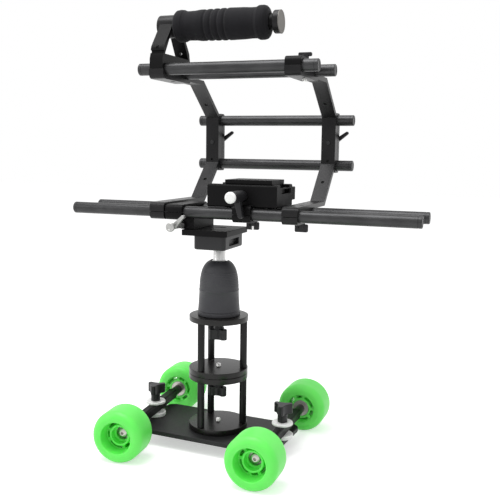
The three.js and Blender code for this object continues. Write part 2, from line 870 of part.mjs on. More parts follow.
const armBottomFace = lowerRodHeight + rodRadius + clampRoof;
const armUprightFace = rodSide + armReach;
const armTopFace = topRodHeight - rodRadius - sideWall + seatGap;
const sideRodPlace = armUprightFace + armThickness + sideGap + rodRadius;
const lowerBend = armBottomFace + lowerSlantRise;
const upperBend = lowerBend + uprightRise;
const sideRodMiddleHeight = (lowerBend + upperBend) / 2 - sideRodDrop;

function armSolid(start) {
  const end = start + armWidth;
  const inner = [
    [rodSide, armBottomFace],
    [rodSide + armInset, armBottomFace],
    [armUprightFace, lowerBend],
    [armUprightFace, upperBend],
    [rodSide + armTopInset, armTopFace],
    [rodSide, armTopFace],
  ];
  const outer = offsetPath(inner, armThickness).reverse();
  const band = slab([...inner, ...outer], start, end);
  const lowerClamp = slab(clampOutline(lowerRodHeight, clampRoof, clampFloor), start, end);
  const topClamp = slab(
    roundedRectangle(-clampNose, clampNose, armTopFace - sideWall, topRodHeight + clampRound * 2, clampRound),
    start, end,
  );
  const split = topRodHeight - seatGap / 2;
  const screwTop = armBottomFace + overrun;
  const lowerScrewFoot = lowerRodHeight - rodRadius - clampFloor - overrun;
  return cut(
    joined(band, lowerClamp, topClamp, sideClamp(start, end)),
    block(start - overrun, end + overrun, -clampNose - overrun, clampNose + overrun,
      split, topRodHeight + clampRound * 3),
    ...rodBores(lowerRodHeight, start, end),
    ...rodBores(topRodHeight, start, end),
    ...sideBores(start, end),
    clampSlit(lowerRodHeight, start, end),
    bar('z', screwHole, lowerScrewFoot, screwTop, start + armWidth / 2 + screwShift, 0, holeFacets),
    bar('z', screwHole, armTopFace - sideWall - overrun, split + overrun,
      start + armWidth / 2 + screwShift, 0, holeFacets),
    ...armHoles(start + armWidth / 2),
    bar('y', uprightHoleRadius, armUprightFace - overrun, armUprightFace + uprightHoleDepth,
      start + armWidth / 2, lowerBend + uprightHoleRise, holeFacets),
  );
}

// The same path set off to its outer side by the bar's thickness
function offsetPath(path, thickness) {
  const normals = path.slice(1).map(([y, z], i) => {
    const [dy, dz] = [y - path[i][0], z - path[i][1]];
    const length = Math.hypot(dy, dz);
    return [dz / length, -dy / length];
  });
  return path.map(([y, z], i) => {
    const before = normals[Math.max(i - 1, 0)];
    const after = normals[Math.min(i, normals.length - 1)];
    const sum = [before[0] + after[0], before[1] + after[1]];
    const scale = (2 * thickness) / (sum[0] ** 2 + sum[1] ** 2);
    return [y + sum[0] * scale, z + sum[1] * scale];
  });
}

// The block behind the upright that holds both side rods
function sideClamp(start, end) {
  const reach = rodRadius + sideWall;
  const half = sideRodSpacing / 2;
  return slab(
    roundedRectangle(armUprightFace + armThickness / 2, sideRodPlace + reach,
      sideRodMiddleHeight - half - reach, sideRodMiddleHeight + half + reach, reach / 2),
    start, end,
  );
}

function sideBores(start, end) {
  const half = sideRodSpacing / 2;
  const bores = [-half, half].map((rise) => bar('x', boreRadius, start - overrun, end + overrun,
    sideRodPlace, sideRodMiddleHeight + rise));
  const top = sideRodMiddleHeight + half + rodRadius + sideWall + overrun;
  const slit = block(start - overrun, end + overrun,
    sideRodPlace - slitWidth / 2, sideRodPlace + slitWidth / 2, sideRodMiddleHeight - half, top);
  const screw = bar('y', screwHole, armUprightFace - overrun, sideRodPlace + rodRadius + sideWall + overrun,
    (start + end) / 2, sideRodMiddleHeight, holeFacets);
  return [...bores, slit, screw];
}

// Plain holes through the two slanted stretches
function armHoles(x) {
  const stretches = [
    [rodSide + armInset, armBottomFace, armUprightFace, lowerBend, lowerHoleShare],
    [armUprightFace, upperBend, rodSide + armTopInset, armTopFace, upperHoleShare],
  ];
  return stretches.map(([y0, z0, y1, z1, share]) => {
    const [y, z] = [y0 + (y1 - y0) * share, z0 + (z1 - z0) * share];
    const angle = Math.atan2(z1 - z0, y1 - y0) - Math.PI / 2;
    const geometry = new THREE.CylinderGeometry(armHoleRadius, armHoleRadius, 4 * armThickness, holeFacets);
    geometry.rotateX(angle).translate(x, y, z);
    return solidOf(geometry);
  });
}

// A wing screw that points up from its wings, its seat at height 0
function wingScrew(length, rise, height) {
  const hub = bar('z', wingHubRadius, -rise, 0, 0, 0, holeFacets);
  const wing = roundedRectangle(-wingSpan / 2, wingSpan / 2, -rise - height / 2, -rise + height / 2,
    wingThickness / 2);
  const geometry = new THREE.ExtrudeGeometry(wing, {
    depth: wingThickness, bevelEnabled: false, curveSegments: 2,
  });
  geometry.translate(0, 0, -wingThickness / 2).rotateX(Math.PI / 2);
  return joined(hub, solidOf(geometry), bar('z', screwRadius, -rise / 2, length, 0, 0, holeFacets));
}

function wingFromBelow(seat, x) {
  const length = lowerRodHeight - rodRadius - seat + screwReach;
  return moved(wingScrew(length, wingHubHeight, wingHeight), x, 0, seat);
}

function wingFromAbove(seat, x, tip) {
  const solid = wingScrew(seat - tip, topWingHubHeight, topWingHeight);
  const geometry = geometryOf(solid).rotateX(Math.PI);
  return solidOf(geometry.translate(x, 0, seat));
}

// The rear top jaw closes over the top rods
function topJawSolid(start) {
  const end = start + armWidth;
  const floor = topRodHeight + seatGap / 2;
  const roof = topRodHeight + rodRadius + jawRoof;
  const body = slab(
    roundedRectangle(-clampNose, clampNose, floor - clampRound * 2, roof, clampRound), start, end,
  );
  return cut(
    body,
    block(start - overrun, end + overrun, -clampNose - overrun, clampNose + overrun,
      floor - clampRound * 3, floor),
    ...rodBores(topRodHeight, start, end),
    bar('z', screwHole, floor - overrun, roof + overrun, start + armWidth / 2 + screwShift, 0, holeFacets),
  );
}

// Side clamp lever: its screw points to -Y into the arm's upright
function sideLeverSolid(start) {
  const seat = sideRodPlace + rodRadius + sideWall + seatGap;
  const arm = leverArm(seat + sideHubLength / 4, sideArmLength, sideArmWidth, sideArmThickness, sideArmTurn);
  const solid = joined(
    bar('y', sideHubRadius, seat, seat + sideHubLength),
    bar('y', screwRadius, armUprightFace - overrun / 2, seat + sideHubLength / 2, 0, 0, holeFacets),
    arm,
  );
  return moved(solid, start + armWidth / 2, 0, sideRodMiddleHeight);
}

// Handle: an A-shaped bracket, a tube along the rods, and a foam grip on the tube

function handleBracketSolid() {
  const [start, end] = [bracketStart, bracketStart + bracketWidth];
  const floor = topRodHeight + seatGap / 2;
  const nose = clampNose;
  const side = legOutline.map(([inset, share]) => [nose - inset, topRodHeight + handleRise * share]);
  const [kneeSide, kneeHeight] = side[side.length - 1];
  const [across, up] = [kneeSide, handleHeight - kneeHeight];
  const lean = Math.atan2(across, up) - Math.asin(hubRadius / Math.hypot(across, up));
  side.push([hubRadius * Math.cos(lean), handleHeight + hubRadius * Math.sin(lean)]);
  const mirrored = side.map(([y, z]) => [-y, z]).reverse();
  const outer = [[-nose, floor], [nose, floor], ...side, ...mirrored];
  const hub = bar('x', hubRadius, start - hubReach, end, 0, handleHeight, wheelFacets);
  const windowFloor = topRodHeight + rodRadius + crossRoof;
  const windowTop = windowFloor + windowFoot / Math.tan(windowLean);
  const window = slab([[-windowFoot, windowFloor], [windowFoot, windowFloor], [0, windowTop]],
    start - overrun, end + overrun).subtract(hub);
  const middle = frontArmStart + armWidth / 2;
  const grooveHeight = topRodHeight + legGrooveRise;
  return cut(
    joined(slab(outer, start, end), hub),
    window,
    ...rodBores(topRodHeight, start, end),
    bar('x', tubeRadius + boreGap, start + tubeSeat, end + overrun, 0, handleHeight),
    bar('y', legHoleRadius, -nose - overrun, nose + overrun, middle, topRodHeight + legHoleRise, holeFacets),
    bar('z', screwHole, floor - overrun, windowFloor + overrun, middle + screwShift, 0, holeFacets),
    block(start - overrun, end + overrun, -nose - overrun, -nose + legGrooveFloor,
      grooveHeight - legGrooveHeight / 2, grooveHeight + legGrooveHeight / 2),
  );
}

const gripStart = bracketStart + bracketWidth + seatGap;
const gripEnd = gripStart + gripLength;

function handleTubeSolid() {
  const start = bracketStart + tubeSeat + seatGap;
  const capStart = gripEnd + endCapNeck;
  const bevel = endCapLength / 5;
  const profile = [
    [0, start],
    [tubeRadius, start],
    [tubeRadius, capStart],
    [endCapRadius - bevel, capStart],
    [endCapRadius, capStart + bevel],
    [endCapRadius, capStart + endCapLength - bevel],
    [endCapRadius - bevel, capStart + endCapLength],
    [0, capStart + endCapLength],
  ];
  return turned('x', profile, roundFacets, 0, handleHeight);
}

// The grip's outside: a bulge at each end, a slack waist and ring grooves near the front
function gripSolid() {
  const bulge = gripEndLength;
  const ringAt = (i) => gripStart + gripRingStart + i * gripRingPitch;
  const rings = [];
  for (let i = 0; i < gripRings; i += 1) {
    rings.push(
      [gripPalmRadius, ringAt(i) - gripRingWidth / 2],
      [gripPalmRadius - gripRingDepth, ringAt(i)],
      [gripPalmRadius, ringAt(i) + gripRingWidth / 2],
    );
  }
  const bore = tubeRadius + boreGap;
  const profile = [
    [bore, gripStart],
    [gripEndRadius * gripFaceShare, gripStart],
    [gripEndRadius, gripStart + bulge * frontBulgeShares[0]],
    [gripEndRadius, gripStart + bulge * frontBulgeShares[1]],
    [gripWaistRadius, gripStart + bulge * frontBulgeShares[2]],
    ...rings,
    [gripPalmRadius, gripEnd - bulge * rearBulgeShares[0]],
    [gripRearRadius, gripEnd - bulge * rearBulgeShares[1]],
    [gripRearRadius, gripEnd - bulge * rearBulgeShares[2]],
    [gripRearRadius * gripTailShare, gripEnd],
    [bore, gripEnd],
    [bore, gripStart],
  ];
  return turned('x', profile, wheelFacets, 0, handleHeight);
}

// Camera platform: a block on the lower rods with a clamp ring beneath

const platformBottom = lowerRodHeight + rodRadius + platformLift;
const platformTop = platformBottom + platformHeight;
const platformFace = platformDepth / 2;

function platformSolid() {
  const [start, end] = [platformStart, platformStart + platformLength];
  const body = slab(
    roundedRectangle(-platformFace, platformFace, platformBottom, platformTop, platformCorner), start, end, 2,
  );
  const [ringStart, ringEnd] = [platformRingStart, platformRingStart + platformRingLength];
  const ring = slab(clampOutline(lowerRodHeight, clampRoof, clampFloor), ringStart, ringEnd);
  const pocket = platformBottom + sidePocketRise;
  const latchEnd = end - latchInset;
  const latchFloor = platformFace - latchDepth - latchTravel - seatGap;
  const groove = block(start - overrun, end + overrun, -grooveWidth / 2, grooveWidth / 2,
    platformTop - grooveDepth, platformTop + overrun);
  return cut(
    joined(body, ring),
    groove,
    ...rodBores(lowerRodHeight, ringStart, ringEnd),
    clampSlit(lowerRodHeight, ringStart, ringEnd),
    bar('z', screwHole, lowerRodHeight - rodRadius - clampFloor - overrun, platformBottom + screwShowing,
      (ringStart + ringEnd) / 2 + platformScrewShift, 0, holeFacets),
    block(end - sidePocketDepth, end + overrun, sidePocketSide - sidePocketLength / 2,
      sidePocketSide + sidePocketLength / 2, pocket, pocket + sidePocketHeight),
    block(latchEnd - latchLength - seatGap, latchEnd + seatGap, latchFloor, platformFace + overrun,
      platformBottom + latchRise - seatGap, platformBottom + latchRise + latchHeight + seatGap),
    bar('y', ratchetPinRadius + threadGap, -platformFace - overrun, -platformFace + ratchetPinDepth,
      ratchetPlace, platformBottom + ratchetRise, holeFacets),
  );
}

function latchSolid() {
  const end = platformStart + platformLength - latchInset;
  return block(end - latchLength, end, platformFace - latchDepth, platformFace + latchShowing,
    platformBottom + latchRise, platformBottom + latchRise + latchHeight);
}

function cameraPlateSolid() {
  const [start, end] = [cameraPlateStart, cameraPlateStart + cameraPlateLength];
  const tongue = grooveWidth / 2 - seatGap;
  return joined(
    block(start, end, -cameraPlateDepth / 2, cameraPlateDepth / 2,
      platformTop + seatGap, platformTop + seatGap + cameraPlateHeight),
    block(start, end, -tongue, tongue,
      platformTop - grooveDepth + seatGap, platformTop + cameraPlateHeight / 2),
  );
}

function ratchetLeverSolid() {
  const seat = -platformFace - seatGap;
  const tip = seat - ratchetBarrelLength;
  const armStart = -clampNose - seatGap - ratchetArmThickness - wingThickness;
  const solid = joined(
    bar('y', ratchetPinRadius, seat - ratchetPinDepth, -platformFace + ratchetPinDepth - seatGap,
      0, 0, holeFacets),
    bar('y', ratchetBarrelRadius, tip, seat, 0, 0, roundFacets),
    leverArm(armStart, ratchetArmLength, ratchetArmWidth, ratchetArmThickness, ratchetArmTurn),
    bar('y', ratchetCapRadius, tip - ratchetCapLength, tip + ratchetCapLength / 2, 0, 0, roundFacets),
  );
  return moved(solid, ratchetPlace, 0, platformBottom + ratchetRise);
}

// Assembly

function wheelSet(prefix, place, outward) {
  const set = new THREE.Group();
  set.position.set(0, place, wheelRadius);
  if (outward > 0) set.rotation.z = Math.PI;
  set.add(
    piece(`${prefix}_wheel`, turnedBy(wheelSolid(), 'y', wheelTurns[prefix]), 'urethane'),
    piece(`${prefix}_bearings`, bearingSolid(), 'steel'),
    piece(`${prefix}_axle_bolt`, boltSolid(), 'steel'),
  );
  return set;
}

function truck(prefix, x, steer) {
  const group = new THREE.Group();
  group.position.x = x;
  group.rotation.z = steer;
  group.add(
    piece(`${prefix}_truck_bar`, barSolid(), 'anodised'),
    piece(`${prefix}_pivot_washer`, washerSolid(), 'nylon'),
    piece(`${prefix}_pivot_knob`, pivotKnobSolid(), 'knob'),
    wheelSet(`${prefix}_left`, -track / 2, -1),
    wheelSet(`${prefix}_right`, track / 2, 1),
  );
  return group;
}

function rollingBase() {
  const group = new THREE.Group();
  group.rotation.z = deckTurn;
  const centred = new THREE.Group();
  centred.position.x = deckShift;
  centred.add(
    piece('deck_plate', deckSolid(), 'painted'),
    truck('front', -wheelbase / 2, frontSteer),
    truck('rear', wheelbase / 2, rearSteer),
  );
  group.add(centred);
  return group;
}

function riser() {
  const group = new THREE.Group();
  group.add(
    piece('deck_screw', deckScrewSolid(), 'steel'),
    piece('riser_bottom_plate', riserPlate(deckTop + seatGap), 'anodised'),
    piece('riser_lower_mid_plate', riserPlate(lowerMidBottom), 'anodised'),
    piece('riser_upper_mid_plate', riserPlate(upperMidBottom), 'anodised'),
    piece('riser_top_plate', riserPlate(topPlateBottom), 'anodised'),
    piece('riser_middle_knob',
      riserKnob(lowerMidBottom, midKnobNeck, midKnobHeight, midPlateTop + studShowing), 'knob'),
    piece('riser_top_knob',
      riserKnob(topPlateBottom, topKnobNeck, topKnobHeight, headBottom + headScrewDepth - seatGap), 'knob'),
  );
  for (let i = 0; i < postCount; i += 1) {
    const number = i + 1;
    group.add(
      piece(`lower_post_${number}`, postSolid(i, bottomPlateTop + seatGap, lowerPostHeight), 'anodised'),
      piece(`upper_post_${number}`, postSolid(i, midPlateTop + seatGap, upperPostHeight), 'anodised'),
    );
  }
  return group;
}

function ballHead() {
  const group = new THREE.Group();
  group.add(
    piece('head_housing', housingSolid(), 'moulded'),
    piece('head_lock_knob', lockKnobSolid(), 'knob'),
    piece('ball_and_stem', ballSolid(), 'steel'),
    piece('quick_clamp', quickClampSolid(), 'moulded'),
    piece('base_plate', basePlateSolid(), 'anodised'),
  );
  return group;
}

function rodRig() {
  const group = new THREE.Group();
  const half = sideRodSpacing / 2;
  group.add(
    piece('rod_base', rodBaseSolid(), 'anodised'),
    piece('rod_base_lever', silverLeverSolid(), 'steel'),
    piece('lower_rod_left', rodSolid(lowerRodLength, leftRodMiddle, -rodSide, lowerRodHeight), 'rodBlack'),
    piece('lower_rod_right', rodSolid(lowerRodLength, rightRodMiddle, rodSide, lowerRodHeight), 'rodBlack'),
    piece('top_rod_left', rodSolid(topRodLength, topLeftRodMiddle, -rodSide, topRodHeight), 'rodBlack'),
    piece('top_rod_right', rodSolid(topRodLength, topRightRodMiddle, rodSide, topRodHeight), 'rodBlack'),
    piece('side_rod_upper', rodSolid(sideRodLength, sideRodMiddle, sideRodPlace, sideRodMiddleHeight + half),
      'rodBlack'),
    piece('side_rod_lower', rodSolid(sideRodLength, sideRodMiddle, sideRodPlace, sideRodMiddleHeight - half),
      'rodBlack'),
  );
  return group;
}

function cage() {
  const group = new THREE.Group();
  const lowerSeat = lowerRodHeight - rodRadius - clampFloor - seatGap;
  const topSeat = topRodHeight + rodRadius + jawRoof + seatGap;
  const topTip = armTopFace - sideWall - screwShowing;
  const screwPlace = rearArmStart + armWidth / 2 + screwShift;
  group.add(
    piece('front_c_arm', armSolid(frontArmStart), 'anodised'),
    piece('rear_c_arm', armSolid(rearArmStart), 'anodised'),
    piece('rear_top_jaw', topJawSolid(rearArmStart), 'anodised'),
    piece('rear_wing_screw', wingFromBelow(lowerSeat, screwPlace), 'knob'),
    piece('top_wing_screw', wingFromAbove(topSeat, screwPlace, topTip), 'knob'),
    piece('front_side_lever', sideLeverSolid(frontArmStart), 'knob'),
    piece('rear_side_lever', sideLeverSolid(rearArmStart), 'knob'),
    piece('handle_bracket', handleBracketSolid(), 'anodised'),
    piece('handle_tube', handleTubeSolid(), 'anodised'),
    piece('foam_grip', gripSolid(), 'foam'),
  );
  return group;
}

function cameraPlatform() {
  const group = new THREE.Group();
  const lowerSeat = lowerRodHeight - rodRadius - clampFloor - seatGap;
  group.add(
    piece('camera_platform', platformSolid(), 'anodised'),
    piece('platform_wing_screw',
      wingFromBelow(lowerSeat, platformRingStart + platformRingLength / 2 + platformScrewShift), 'knob'),
    piece('platform_latch', latchSolid(), 'anodised'),
    piece('camera_plate', cameraPlateSolid(), 'anodised'),
    piece('platform_lever', ratchetLeverSolid(), 'knob'),
  );
  return group;
}

// The whole dolly, moved so that the middle of its footprint is the origin
const dolly = new THREE.Group();
dolly.add(rollingBase(), riser(), ballHead(), rodRig(), cage(), cameraPlatform());
dolly.updateMatrixWorld(true);
const footprint = new THREE.Box3().setFromObject(dolly).getCenter(new THREE.Vector3());
dolly.position.set(-footprint.x, -footprint.y, 0);

export default dolly;
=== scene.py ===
"""The looks of a skater dolly with a ball head and a camera rod rig.

Every piece is drawn in millimetres round its own axis, shaped in edit mode and then put
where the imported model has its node.
"""

import json
import math

import bpy
from mathutils import Matrix, Vector


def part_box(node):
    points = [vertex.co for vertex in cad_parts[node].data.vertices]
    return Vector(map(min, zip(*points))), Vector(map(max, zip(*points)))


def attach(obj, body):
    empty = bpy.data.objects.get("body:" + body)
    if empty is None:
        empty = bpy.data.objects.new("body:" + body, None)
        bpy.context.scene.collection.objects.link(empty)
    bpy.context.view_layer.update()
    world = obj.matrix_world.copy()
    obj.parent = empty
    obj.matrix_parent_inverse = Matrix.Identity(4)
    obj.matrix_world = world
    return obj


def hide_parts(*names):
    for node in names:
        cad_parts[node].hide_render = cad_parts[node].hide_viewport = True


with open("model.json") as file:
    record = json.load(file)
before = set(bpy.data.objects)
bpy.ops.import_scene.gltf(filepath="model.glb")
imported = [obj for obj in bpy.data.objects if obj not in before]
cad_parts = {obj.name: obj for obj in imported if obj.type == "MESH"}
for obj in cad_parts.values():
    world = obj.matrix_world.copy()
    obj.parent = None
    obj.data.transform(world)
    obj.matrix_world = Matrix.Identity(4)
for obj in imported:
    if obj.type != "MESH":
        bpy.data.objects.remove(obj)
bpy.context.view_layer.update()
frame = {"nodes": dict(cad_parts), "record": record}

MM = 0.001
body_of = {
    node: body
    for body, nodes in frame["record"]["behaviour"]["bodies"].items()
    for node in nodes
}


# Where the real pieces are


def middle(node):
    low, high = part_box(node)
    return (low + high) / 2


def frame_along(first, second):
    """The place on the floor between two points, with local Y from the first to the second."""
    centre = (first + second) / 2
    along = Vector((second.x - first.x, second.y - first.y, 0)).normalized()
    across = along.cross(Vector((0, 0, 1)))
    turn = Matrix((across, along, Vector((0, 0, 1)))).transposed().to_4x4()
    return Matrix.Translation((centre.x, centre.y, 0)) @ turn


riser_axis = middle("riser_top_plate")
on_rig = Matrix.Translation((riser_axis.x, riser_axis.y, 0))
on_deck = frame_along(
    middle("front_pivot_washer"), middle("rear_pivot_washer")
) @ Matrix.Rotation(-math.pi / 2, 4, "Z")
on_truck = {
    end: frame_along(middle(f"{end}_left_wheel"), middle(f"{end}_right_wheel"))
    for end in ("front", "rear")
}
along_x = Matrix.Rotation(math.pi / 2, 4, "Y")
along_y = Matrix.Rotation(-math.pi / 2, 4, "X")


def at(x, y, z):
    return Matrix.Translation(Vector((x, y, z)) * MM)


# Modelling

SEAM = 0.004  # ends of a spun line that are closer than this become one
LOOSE = 0.01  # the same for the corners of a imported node's triangles
SAME_PLANE = 2  # degrees between triangles that become one face
EASING_STEPS = 5
EASING_SHARE = 0.49  # of a side, the most that one rounding takes


def take(*pieces):
    """Makes these the only selected pieces, the first one active."""
    bpy.ops.object.select_all(action="DESELECT")
    for piece in pieces:
        piece.select_set(True)
    bpy.context.view_layer.objects.active = pieces[0]


def drawn(name, points, edges=(), faces=()):
    mesh = bpy.data.meshes.new(name)
    mesh.from_pydata([Vector(p) * MM for p in points], list(edges), list(faces))
    piece = bpy.data.objects.new(name, mesh)
    bpy.context.scene.collection.objects.link(piece)
    take(piece)
    return piece


def turned(name, profile, steps=72):
    """Spins (radius, height) points about Z; a line that starts off the axis is closed."""
    chain = [(i, i + 1) for i in range(len(profile) - 1)]
    if profile[0][0] > 0:
        chain.append((len(profile) - 1, 0))
    piece = drawn(name, [(r, 0, h) for r, h in profile], chain)
    bpy.ops.object.mode_set(mode="EDIT")
    bpy.ops.mesh.select_all(action="SELECT")
    bpy.ops.mesh.spin(steps=steps, angle=math.tau, center=(0, 0, 0), axis=(0, 0, 1))
    bpy.ops.mesh.select_all(action="SELECT")
    bpy.ops.mesh.remove_doubles(threshold=SEAM * MM)
    bpy.ops.mesh.normals_make_consistent(inside=False)
    bpy.ops.object.mode_set(mode="OBJECT")
    return piece


def pushed(name, outline, bottom, top):
    """Extrudes an outline of (x, y) points from one height to another."""
    face = tuple(range(len(outline)))
    piece = drawn(name, [(x, y, bottom) for x, y in outline], faces=[face])
    bpy.ops.object.mode_set(mode="EDIT")
    bpy.ops.mesh.select_all(action="SELECT")
    bpy.ops.mesh.extrude_region_move(
        TRANSFORM_OT_translate={"value": (0, 0, (top - bottom) * MM)}
    )
    bpy.ops.mesh.select_all(action="SELECT")
    bpy.ops.mesh.normals_make_consistent(inside=False)
    bpy.ops.object.mode_set(mode="OBJECT")
    return piece


def eased(corners):
    """Rounds a drawn line: each corner is (u, v, radius of its rounding)."""
    line = []
    for i, (u, v, radius) in enumerate(corners):
        here = Vector((u, v))
        if radius == 0 or i in (0, len(corners) - 1):
            line.append((u, v))
            continue
        back = Vector(corners[i - 1][:2]) - here
        on = Vector(corners[i + 1][:2]) - here
        reach = min(
            radius / math.tan(back.angle(on) / 2),
            EASING_SHARE * back.length,
            EASING_SHARE * on.length,
        )
        start, end = here + back.normalized() * reach, here + on.normalized() * reach
        for step in range(EASING_STEPS + 1):
            t = step / EASING_STEPS
            point = (1 - t) ** 2 * start + 2 * t * (1 - t) * here + t**2 * end
            line.append((point.x, point.y))
    return line


def arc(u, v, radius, start, end, steps):
    """Points on an arc, its angles in degrees."""
    return [
        (u + radius * math.cos(angle), v + radius * math.sin(angle))
        for angle in (
            math.radians(start + (end - start) * i / steps) for i in range(steps + 1)
        )
    ]


def rounded_rectangle(width, depth, corner, steps):
    x, y = width / 2 - corner, depth / 2 - corner
    return (
        arc(x, y, corner, 0, 90, steps)
        + arc(-x, y, corner, 90, 180, steps)
        + arc(-x, -y, corner, 180, 270, steps)
        + arc(x, -y, corner, 270, 360, steps)
    )


def rims_eased(piece, width, segments, least):
    """Bevels the edges that turn by more than the least angle, in degrees."""
    take(piece)
    rims = piece.modifiers.new("rims", "BEVEL")
    rims.width = width * MM
    rims.segments = segments
    rims.limit_method = "ANGLE"
    rims.angle_limit = math.radians(least)
    bpy.ops.object.modifier_apply(modifier=rims.name)
    return piece


def cut_out(piece, *tools):
    for tool in tools:
        take(piece)
        hole = piece.modifiers.new("hole", "BOOLEAN")
        hole.operation = "DIFFERENCE"
        hole.solver = "EXACT"
        hole.object = tool
        bpy.ops.object.modifier_apply(modifier=hole.name)
        bpy.data.objects.remove(tool)
    return piece


def welded(piece, *others):
    """Makes one piece of several that touch."""
    take(piece, *others)
    bpy.ops.object.join()
    return piece


def put(piece, *places):
    """Moves the piece's mesh; the last place named is done last."""
    for place in places:
        piece.data.transform(place)
    return piece


def twin(piece, name):
    copy = bpy.data.objects.new(name, piece.data.copy())
    bpy.context.scene.collection.objects.link(copy)
    return copy


def made(piece, finish, slot, *nodes, smooth=38, flats=False):
    """Gives a piece its finish and lets it stand for its CAD nodes."""
    take(piece)
    piece.data.materials.clear()
    piece.data.materials.append(finish)
    bpy.ops.object.shade_smooth_by_angle(angle=math.radians(smooth))
    if flats:
        even = piece.modifiers.new("flats", "WEIGHTED_NORMAL")
        even.keep_sharp = True
        bpy.ops.object.modifier_apply(modifier=even.name)
    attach(piece, body_of[nodes[0]])
    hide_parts(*nodes)
    return piece


def merged_copy(node, name):
    """A copy of a CAD node with its loose triangles merged into clean faces."""
    piece = twin(frame["nodes"][node], name)
    take(piece)
    bpy.ops.object.mode_set(mode="EDIT")
    bpy.ops.mesh.select_all(action="SELECT")
    bpy.ops.mesh.remove_doubles(threshold=LOOSE * MM)
    bpy.ops.mesh.dissolve_limited(angle_limit=math.radians(SAME_PLANE))
    bpy.ops.object.mode_set(mode="OBJECT")
    return piece


# Finishes

CLOUD = 30  # size of the slow variation in every grained finish


def linear(hex_code):
    """An sRGB hex colour as the linear values that a shader takes."""
    parts = [int(hex_code[i : i + 2], 16) / 255 for i in (1, 3, 5)]
    return [
        p / 12.92 if p <= 0.04045 else ((p + 0.055) / 1.055) ** 2.4 for p in parts
    ] + [1]


def add(tree, kind, values=None, links=None, **settings):
    """Adds one node with its settings, its values and what feeds it."""
    node = tree.nodes.new(kind)
    for key, value in settings.items():
        setattr(node, key, value)
    for socket, value in (values or {}).items():
        node.inputs[socket].default_value = value
    for socket, source in (links or {}).items():
        tree.links.new(source, node.inputs[socket])
    return node


def new_finish(name):
    """An empty finish: its node tree, its shader and the piece's own coordinates."""
    finish = bpy.data.materials.new(name)
    finish.use_nodes = True
    tree = finish.node_tree
    shader = tree.nodes["Principled BSDF"]
    own = add(tree, "ShaderNodeTexCoord").outputs["Object"]
    return finish, tree, shader, own


def grained(
    name,
    dark,
    light,
    grain,
    rough,
    lift,
    depth,
    metallic=0.0,
    gloss=0.5,
    stretch=(1, 1, 1),
):
    """A finish with slow colour variation and a fine grain, both sized in millimetres."""
    finish, tree, shader, own = new_finish(name)
    place = add(tree, "ShaderNodeMapping", {"Scale": stretch}, {"Vector": own})
    slow = add(
        tree,
        "ShaderNodeTexNoise",
        {"Scale": 1 / (CLOUD * MM), "Detail": 2},
        {"Vector": own},
    )
    fine = add(
        tree,
        "ShaderNodeTexNoise",
        {"Scale": 1 / (grain * MM), "Detail": 2},
        {"Vector": place.outputs["Vector"]},
    )
    both = add(
        tree,
        "ShaderNodeMath",
        None,
        {0: slow.outputs["Fac"], 1: fine.outputs["Fac"]},
        operation="ADD",
    )
    spread = add(
        tree,
        "ShaderNodeMapRange",
        {"From Min": 0.75, "From Max": 1.25},
        {"Value": both.outputs["Value"]},
    )
    tone = add(
        tree,
        "ShaderNodeMix",
        {6: linear(dark), 7: linear(light)},
        {"Factor": spread.outputs["Result"]},
        data_type="RGBA",
    )
    tree.links.new(tone.outputs[2], shader.inputs["Base Color"])
    dull = add(
        tree,
        "ShaderNodeMapRange",
        {
            "From Min": 0.3,
            "From Max": 0.7,
            "To Min": rough - 0.05,
            "To Max": rough + 0.05,
        },
        {"Value": fine.outputs["Fac"]},
    )
    tree.links.new(dull.outputs["Result"], shader.inputs["Roughness"])
    bump = add(
        tree,
        "ShaderNodeBump",
        {"Strength": lift, "Distance": depth * MM},
        {"Height": fine.outputs["Fac"]},
    )
    tree.links.new(bump.outputs["Normal"], shader.inputs["Normal"])
    shader.inputs["Metallic"].default_value = metallic
    shader.inputs["Specular IOR Level"].default_value = gloss
    return finish


# Powder coat: baked on the deck, which leaves a fine orange peel under a satin sheen.
powder_coat = grained(
    "black_powder_coat", "#151516", "#1c1c1d", 1.2, 0.5, 0.3, 0.05, gloss=0.3
)
# Anodised aluminium: turned and milled parts dyed black, satin, with a very fine blasted grain.
anodised = grained(
    "black_anodised_aluminium", "#09090a", "#100f10", 0.9, 0.42, 0.2, 0.03, gloss=0.1
)
# The riser's plates are faced on a lathe, so their sheen is a little smoother.
turned_plate = grained(
    "turned_anodised_aluminium", "#0f0e0e", "#181615", 1.1, 0.3, 0.15, 0.02, gloss=0.3
)
# The rods are drawn aluminium tube, anodised grey-black: metal shows through as a soft band.
rod_tube = grained(
    "drawn_anodised_tube",
    "#343435",
    "#414142",
    0.8,
    0.38,
    0.15,
    0.02,
    metallic=0.7,
    stretch=(0.08, 1, 1),
)
# A smoother anodised face that catches the light: the bent flat bar of the C-shaped arms,
# the riser's posts, and the handle's end collar and bracket sleeve.
bar_face = grained(
    "anodised_flat_bar", "#1d1d1e", "#272627", 0.9, 0.34, 0.15, 0.02, metallic=0.4, gloss=0.2
)
# Injection-moulded ABS: knobs, levers and the quick clamp, with a fine spark-eroded texture.
moulded_abs = grained(
    "moulded_black_abs", "#161618", "#1e1e20", 0.9, 0.42, 0.35, 0.05, gloss=0.35
)
# The head is a casting under fine textured paint, a shade lighter than the aluminium round it.
textured_paint = grained(
    "textured_black_paint", "#333337", "#3e3e41", 0.8, 0.45, 0.5, 0.06, gloss=0.3
)
# White nylon: turned washers, discs and caps, slightly translucent and waxy.
white_nylon = grained(
    "turned_white_nylon", "#f2f2f0", "#fbfbfa", 2.5, 0.42, 0.1, 0.02
)
for socket, value in (
    ("Subsurface Weight", 0.3),
    ("Subsurface Radius", (1, 1, 1)),
    ("Subsurface Scale", 1.5 * MM),
):
    white_nylon.node_tree.nodes["Principled BSDF"].inputs[socket].default_value = value
